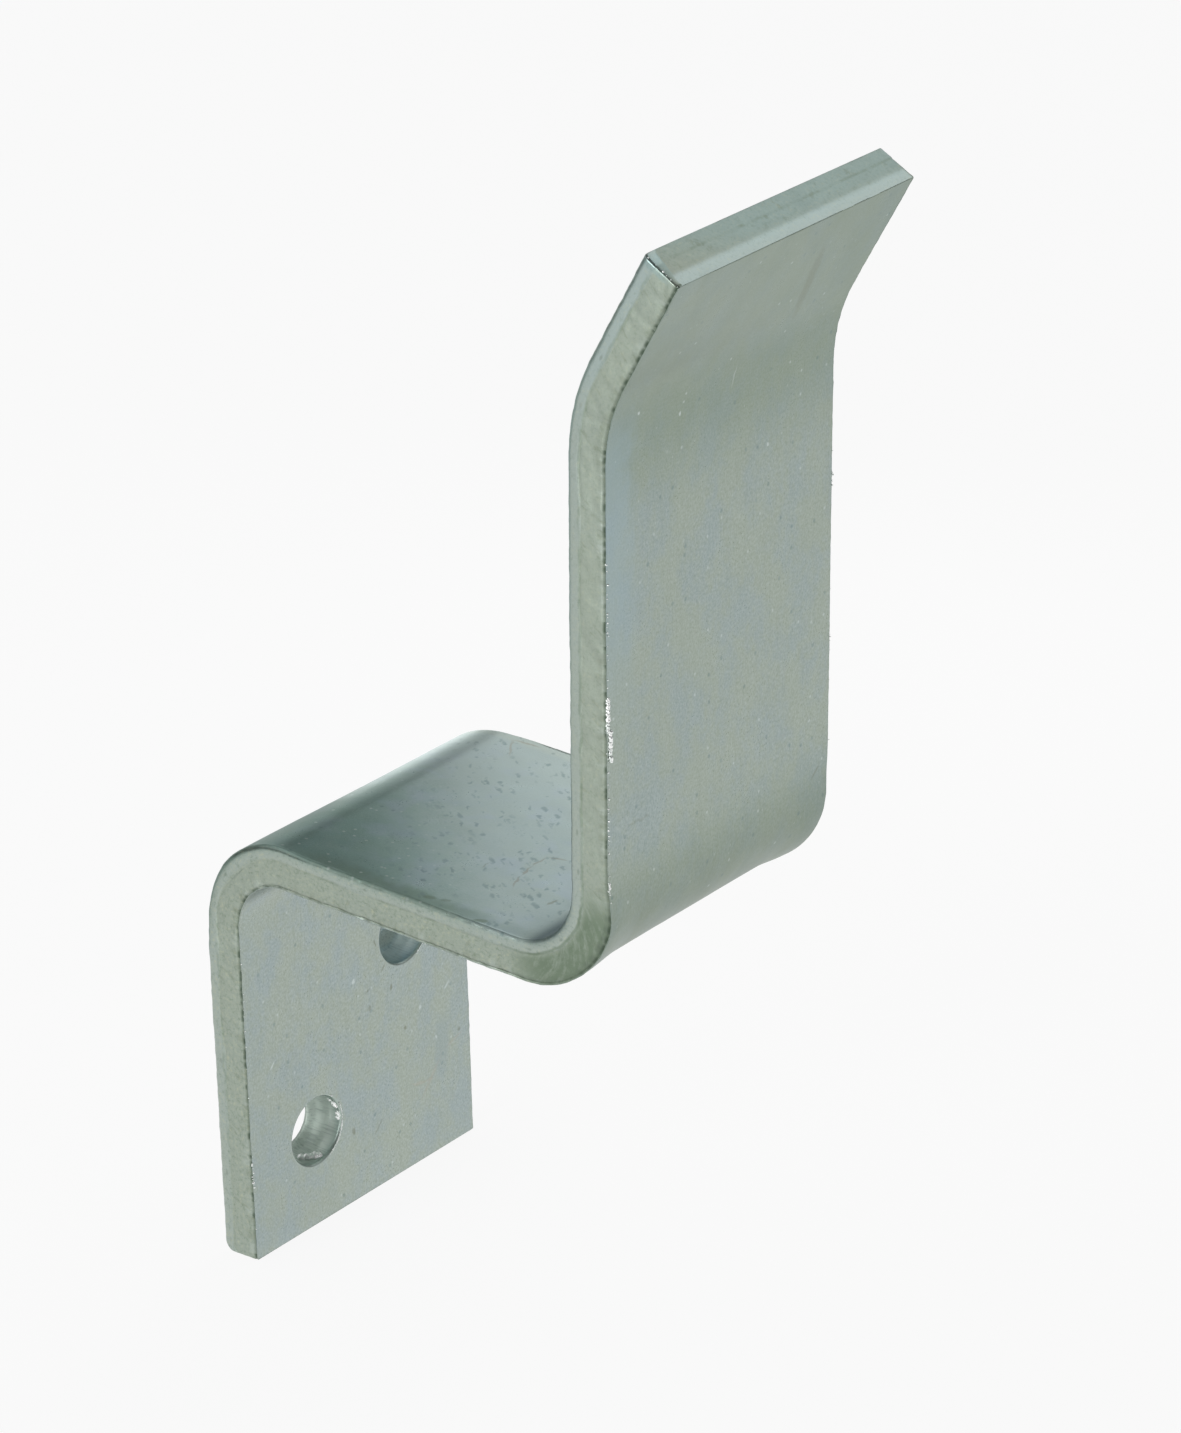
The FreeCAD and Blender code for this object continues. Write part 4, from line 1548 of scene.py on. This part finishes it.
@dataclass(frozen=True)
class Studio:
    """A white floor, soft lamps and the camera of the photograph."""

    floor_half: float = 900.0
    floor_height: float = -21.05
    floor_white: float = 0.9
    floor_glow: float = 0.9
    sky: float = 0.165
    # shade is the painted shade of the floor behind the bracket, as the metal sees it.
    shade: Colour = (0.60, 0.68, 0.67)
    camera_place: tuple[float, float, float] = (-367.24, -336.0, 257.52)
    camera_azimuth: float = -51.049
    camera_elevation: float = 23.976
    camera_roll: float = -1.373
    lens: float = 124.01
    sensor: float = 36.0
    lamps: tuple[Lamp, ...] = field(default=(
        Lamp("left_softbox", -95.0, 12.0, 900.0, 650.0, 4.2),
        Lamp("left_back_softbox", -142.0, 36.0, 900.0, 700.0, 0.55),
        Lamp("shelf_panel", 114.0, 22.0, 220.0, 140.0, 0.95),
        Lamp("far_card", 140.6, -11.9, 96.6, 28.0, 0.9),
        Lamp("right_softbox", 80.0, 45.0, 900.0, 650.0, 1.05),
        Lamp("back_softbox", 170.0, 45.0, 900.0, 650.0, 0.45),
        Lamp("low_back_card", 150.0, 6.0, 900.0, 1200.0, 0.56, (0.92, 1.0, 0.97), 0.34),
        Lamp("front_softbox", 35.0, 12.0, 900.0, 650.0, 0.3),
    ))

    def build(self) -> None:
        """Add floor, sky, lamps and camera."""
        self._floor()
        self._sky()
        for lamp in self.lamps:
            lamp.build()
        self._camera()

    def _floor(self) -> None:
        """Add the floor, whose white shows in the camera and in the metal; behind the bracket the
        metal sees it dimmed, a painted shade.
        """
        half, height = self.floor_half * METRES, self.floor_height * METRES
        mesh = bpy.data.meshes.new("floor")
        corners = [(-half, -half, height), (half, -half, height), (half, half, height),
                   (-half, half, height)]
        mesh.from_pydata(corners, [], [(0, 1, 2, 3)])
        shader = Shader("floor_white")
        paper = shader.node("ShaderNodeBsdfDiffuse", {},
                            {"Color": (*[self.floor_white] * 3, 1.0)})
        rays = shader.node("ShaderNodeLightPath")
        place = shader.node("ShaderNodeTexCoord").outputs["Object"]
        parts = shader.node("ShaderNodeSeparateXYZ", {}, {0: place})
        # Painted shade: seen in the metal only, the floor behind the bracket is dimmed to the
        # shade colour.
        behind = shader.value(parts, 0) * 0.6 + shader.value(parts, 1) * 0.8
        dim = behind.smooth(0.03, 0.09) * shader.value(rays, "Is Glossy Ray")
        white = shader.mix(dim, (1.0, 1.0, 1.0), self.shade)
        glow = shader.node("ShaderNodeEmission", {}, {"Color": white, "Strength": 1.0})
        seen = shader.value(rays, "Is Camera Ray") * self.floor_glow
        seen = seen + shader.value(rays, "Is Glossy Ray")
        seen = seen + shader.value(rays, "Is Transmission Ray")
        mixed = shader.node("ShaderNodeMixShader", {},
                            {0: seen, 1: paper.outputs[0], 2: glow.outputs[0]})
        shader.node("ShaderNodeOutputMaterial", {}, {"Surface": mixed.outputs[0]})
        mesh.materials.append(shader.material)
        floor = bpy.data.objects.new("floor", mesh)
        bpy.context.scene.collection.objects.link(floor)

    def _sky(self) -> None:
        """Light the room evenly from all round."""
        world = bpy.data.worlds.new("soft_room")
        world.use_nodes = True
        tree = Tree(world.node_tree)
        world.node_tree.nodes.clear()
        light = tree.node("ShaderNodeBackground", {},
                          {"Color": (1, 1, 1, 1), "Strength": self.sky})
        tree.node("ShaderNodeOutputWorld", {}, {"Surface": light.outputs[0]})
        bpy.context.scene.world = world

    def _camera(self) -> None:
        """Add the camera where the photograph was taken from."""
        data = bpy.data.cameras.new("camera")
        data.lens = self.lens
        data.sensor_width = self.sensor
        data.clip_start = 0.01
        data.clip_end = 20.0
        camera = bpy.data.objects.new("camera", data)
        back = direction(self.camera_azimuth, self.camera_elevation)
        level = back.to_track_quat("Z", "Y").to_matrix().to_4x4()
        roll = Matrix.Rotation(math.radians(self.camera_roll), 4, "Z")
        camera.matrix_world = Matrix.Translation(Vector(self.camera_place) * METRES) @ level @ roll
        bpy.context.scene.collection.objects.link(camera)
        bpy.context.scene.camera = camera


TARNISH = (0.2, 0.185, 0.14)
RUSTY = (0.42, 0.36, 0.29)
BRIGHT = (0.62, 0.69, 0.68)
BROWN = (0.24, 0.21, 0.15)
DARK = (0.10, 0.15, 0.10)


@dataclass(frozen=True)
class Bracket:
    """The whole bracket: the strip and what lies on its edges."""

    sizes: StripSizes = StripSizes()
    near: ShearMarks = ShearMarks()
    far: ShearMarks = ShearMarks(roll_across=0.12, roll_depth=0.2, torn_lean=0.04,
                                 front_round=0.3)
    bores: BoreMarks = BoreMarks()
    foot: EndMarks = EndMarks(run=1.2, drop=1.1, corner=0.15, bar_side=True)
    lip: EndMarks = EndMarks(run=0.07, drop=0.05, corner=0.06, bar_side=False, lean=0.1,
                             skew=1.15, draw_bar=1.3, draw_front=0.3)
    dents: tuple[Dent, ...] = (
        Dent(-1.7, 8.4, True, 0.7, 0.05, 1.4),
    )
    strokes: tuple[Stroke, ...] = tuple(Stroke(*row) for row in (
        ((17.9, 57.4), (14.2, 59.8), 0.24, 0.4, False, BROWN),
        ((17.7, 57.0), (18.2, 61.5), 0.18, 0.45, False, BROWN),
        ((-1.7, 81.3), (-2.5, 78.7), 0.2, 0.4, False, TARNISH),
        ((-2.5, 78.7), (-5.2, 78.7), 0.2, 0.45, False, TARNISH),
        ((-5.2, 78.7), (-7.6, 79.3), 0.24, 0.5, False, TARNISH),
        ((-7.6, 79.3), (-10.4, 80.3), 0.2, 0.45, False, TARNISH),
        ((-11.2, 85.6), (-9.6, 85.7), 0.22, 0.5),
        ((-8.9, 74.8), (-7.2, 74.7), 0.2, 0.35),
        ((-17.6, 74.4), (-17.3, 75.4), 0.5, 0.5, False, DARK),
        ((-17.0, 76.4), (-16.8, 77.0), 0.4, 0.4, False, DARK),
        ((-18.4, 82.0), (-18.0, 83.0), 0.5, 0.6, False, DARK),
        ((3.2, 34.4), (4.8, 32.6), 0.26, 0.5, True),
        ((5.6, 32.6), (8.2, 31.2), 0.26, 0.45, True),
        ((3.0, 31.2), (3.2, 30.0), 0.2, 0.5, True),
        ((4.7, 27.5), (3.9, 26.6), 0.2, 0.4, True),
        ((5.5, 24.4), (5.5, 23.7), 0.2, 0.5, True),
        ((1.1, 25.0), (2.1, 25.4), 0.2, 0.3, True),
        ((1.7, 23.1), (1.8, 22.8), 0.3, 0.4, True),
        ((7.6, 18.1), (7.7, 17.9), 0.3, 0.5, True),
        ((17.0, 14.1), (17.1, 13.9), 0.3, 0.4, True),
        ((1.5, 6.6), (3.4, 8.6), 0.18, 0.35, True),
        ((-1.9, 9.0), (-1.8, 8.6), 0.45, 0.5, True),
        ((17.7, 13.5), (14.1, 12.4), 0.3, 0.2, True, RUSTY),
        ((14.1, 12.4), (9.7, 7.4), 0.35, 0.22, True, RUSTY),
        ((7.9, 10.3), (12.8, 9.4), 0.28, 0.25, True, RUSTY),
        ((14.0, 16.5), (13.6, 8.6), 1.7, 0.35, True, (0.27, 0.345, 0.385)),
        ((17.4, 105.3), (15.8, 103.9), 0.22, 0.35, True),
        ((-16.0, 110.6), (-11.4, 110.5), 0.26, 0.22, True),
        ((7.1, 171.0), (9.4, 159.1), 1.0, 0.3, True),
        ((1.5, 156.1), (1.2, 152.9), 0.14, 0.3, True, BRIGHT),
        ((-0.8, 27.4), (-0.8, 27.2), 0.3, 0.6, True, BRIGHT),
        ((15.6, 20.8), (14.6, 20.0), 0.22, 0.4, True, BRIGHT),
        ((10.3, 19.6), (10.3, 19.4), 0.28, 0.5, True, BRIGHT),
        ((12.9, 14.7), (12.9, 14.5), 0.28, 0.5, True, BRIGHT),
        ((-15.1, 22.3), (-14.4, 23.1), 0.18, 0.5, True, BRIGHT),
        ((-14.4, 155.6), (-14.4, 155.4), 0.26, 0.6, True, BRIGHT),
        ((-7.2, 152.9), (-7.2, 152.7), 0.26, 0.6, True, BRIGHT),
        ((7.7, 144.7), (7.7, 144.5), 0.26, 0.5, True, BRIGHT),
    ))
    finish: ZincFinish = ZincFinish()

    def build(self) -> list[bpy.types.Object]:
        """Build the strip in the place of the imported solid, and the grains on it."""
        strip = Strip(self.sizes, self.near, self.far, self.bores, self.foot, self.lip, self.dents)
        skin = strip.build()
        skin.data.materials.append(replace(self.finish, strokes=self.strokes).build())
        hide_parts(NODE)
        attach(skin, BODY)
        return [skin, *self._grains(strip)]

    @staticmethod
    def _grains(strip: Strip) -> list[bpy.types.Object]:
        """Set the bright grains on the edges and on the rims of the holes, and grains in one bore
        that stand in for its highlights.

        A row on a crest has its start, end and inset, one on a rim its hole, two angles and
        depths. Then come the rest of a GrainRun.
        """
        grains = Grains(GrainFinish().build())
        crests = {
            "near_edge_grains": (-1, (
                (103.0, 141.0, 0.2, 0.5, 0.6, 0.06, 0.17, 0.1),
                (121.8, 126.0, 0.25, 0.12, 1.0, 0.2, 0.3, 0.05),
                (118.9, 122.4, 0.55, 0.12, 1.0, 0.26, 0.42, 0.06),
                (111.1, 111.7, 0.3, 0.2, 1.0, 0.14, 0.2, 0.06),
                (103.8, 105.6, 0.2, 0.2, 0.9, 0.1, 0.2, 0.08),
                (9.0, 12.5, 0.12, 0.26, 0.8, 0.07, 0.16, 0.07),
                (2.0, 40.0, 0.12, 0.9, 0.4, 0.04, 0.1, 0.06),
                (46.4, 46.9, 0.12, 0.4, 1.0, 0.13, 0.15, 0.02),
                (56.0, 88.0, 0.12, 1.1, 0.25, 0.04, 0.08, 0.06))),
            "far_edge_grains": (1, (
                (136.5, 138.2, 0.12, 0.26, 0.9, 0.09, 0.17, 0.05),
                (118.6, 119.8, 0.12, 0.26, 0.9, 0.08, 0.15, 0.05),
                (104.0, 146.0, 0.12, 1.7, 0.4, 0.04, 0.09, 0.06)))}
        rims = (
            (0, -62.0, 22.0, None, 0.13, 0.95, 0.08, 0.13, 0.03),
            (0, 22.0, 60.0, None, 0.26, 0.7, 0.08, 0.17, 0.07),
            # These four rows set grains on the bore wall of hole 0 that stand in for highlights
            # there: painted highlights made of near-white zinc.
            (0, -74.0, -97.0, (1.0, 2.2), 0.16, 1.0, 0.6, 0.75, 0.08),
            (0, -3.0, 9.0, (0.4, 0.4), 0.15, 1.0, 0.32, 0.42, 0.05),
            (0, 20.0, 29.0, (0.45, 0.6), 0.15, 1.0, 0.3, 0.4, 0.04),
            (0, 32.0, 36.0, (0.95, 1.05), 0.2, 1.0, 0.16, 0.24, 0.02),
            (1, -62.0, -14.0, None, 0.14, 0.9, 0.07, 0.14, 0.04))
        pieces = [grains.lay(name, [GrainRun(strip.crest(sign, *row[:3]), *row[3:])
                                    for row in rows]) for name, (sign, rows) in crests.items()]
        end = [GrainRun(strip.end_crest(), 0.5, 0.6, 0.05, 0.13, 0.06)]
        pieces.append(grains.lay("end_edge_grains", end))
        pieces.append(grains.lay("hole_rim_grains_and_glints", [GrainRun(strip.rim(*row[:4]), *row[4:])
                                                     for row in rims]))
        return pieces


def report(piece: bpy.types.Object) -> None:
    """Log a piece's size and number of faces."""
    low = [min(corner[axis] for corner in piece.bound_box) / METRES for axis in range(3)]
    high = [max(corner[axis] for corner in piece.bound_box) / METRES for axis in range(3)]
    spans = " x ".join(f"{b - a:.2f}" for a, b in zip(low, high))
    log.info("%s: %s mm, %d faces", piece.name, spans, len(piece.data.polygons))


def main() -> None:
    """Build the bracket and its studio."""
    logging.basicConfig(level=logging.INFO, format="%(name)s: %(message)s")
    for piece in Bracket().build():
        report(piece)
    Studio().build()
    bpy.context.scene.view_settings.view_transform = "Standard"
    bpy.context.view_layer.update()


if __name__ == "__main__":
    main()
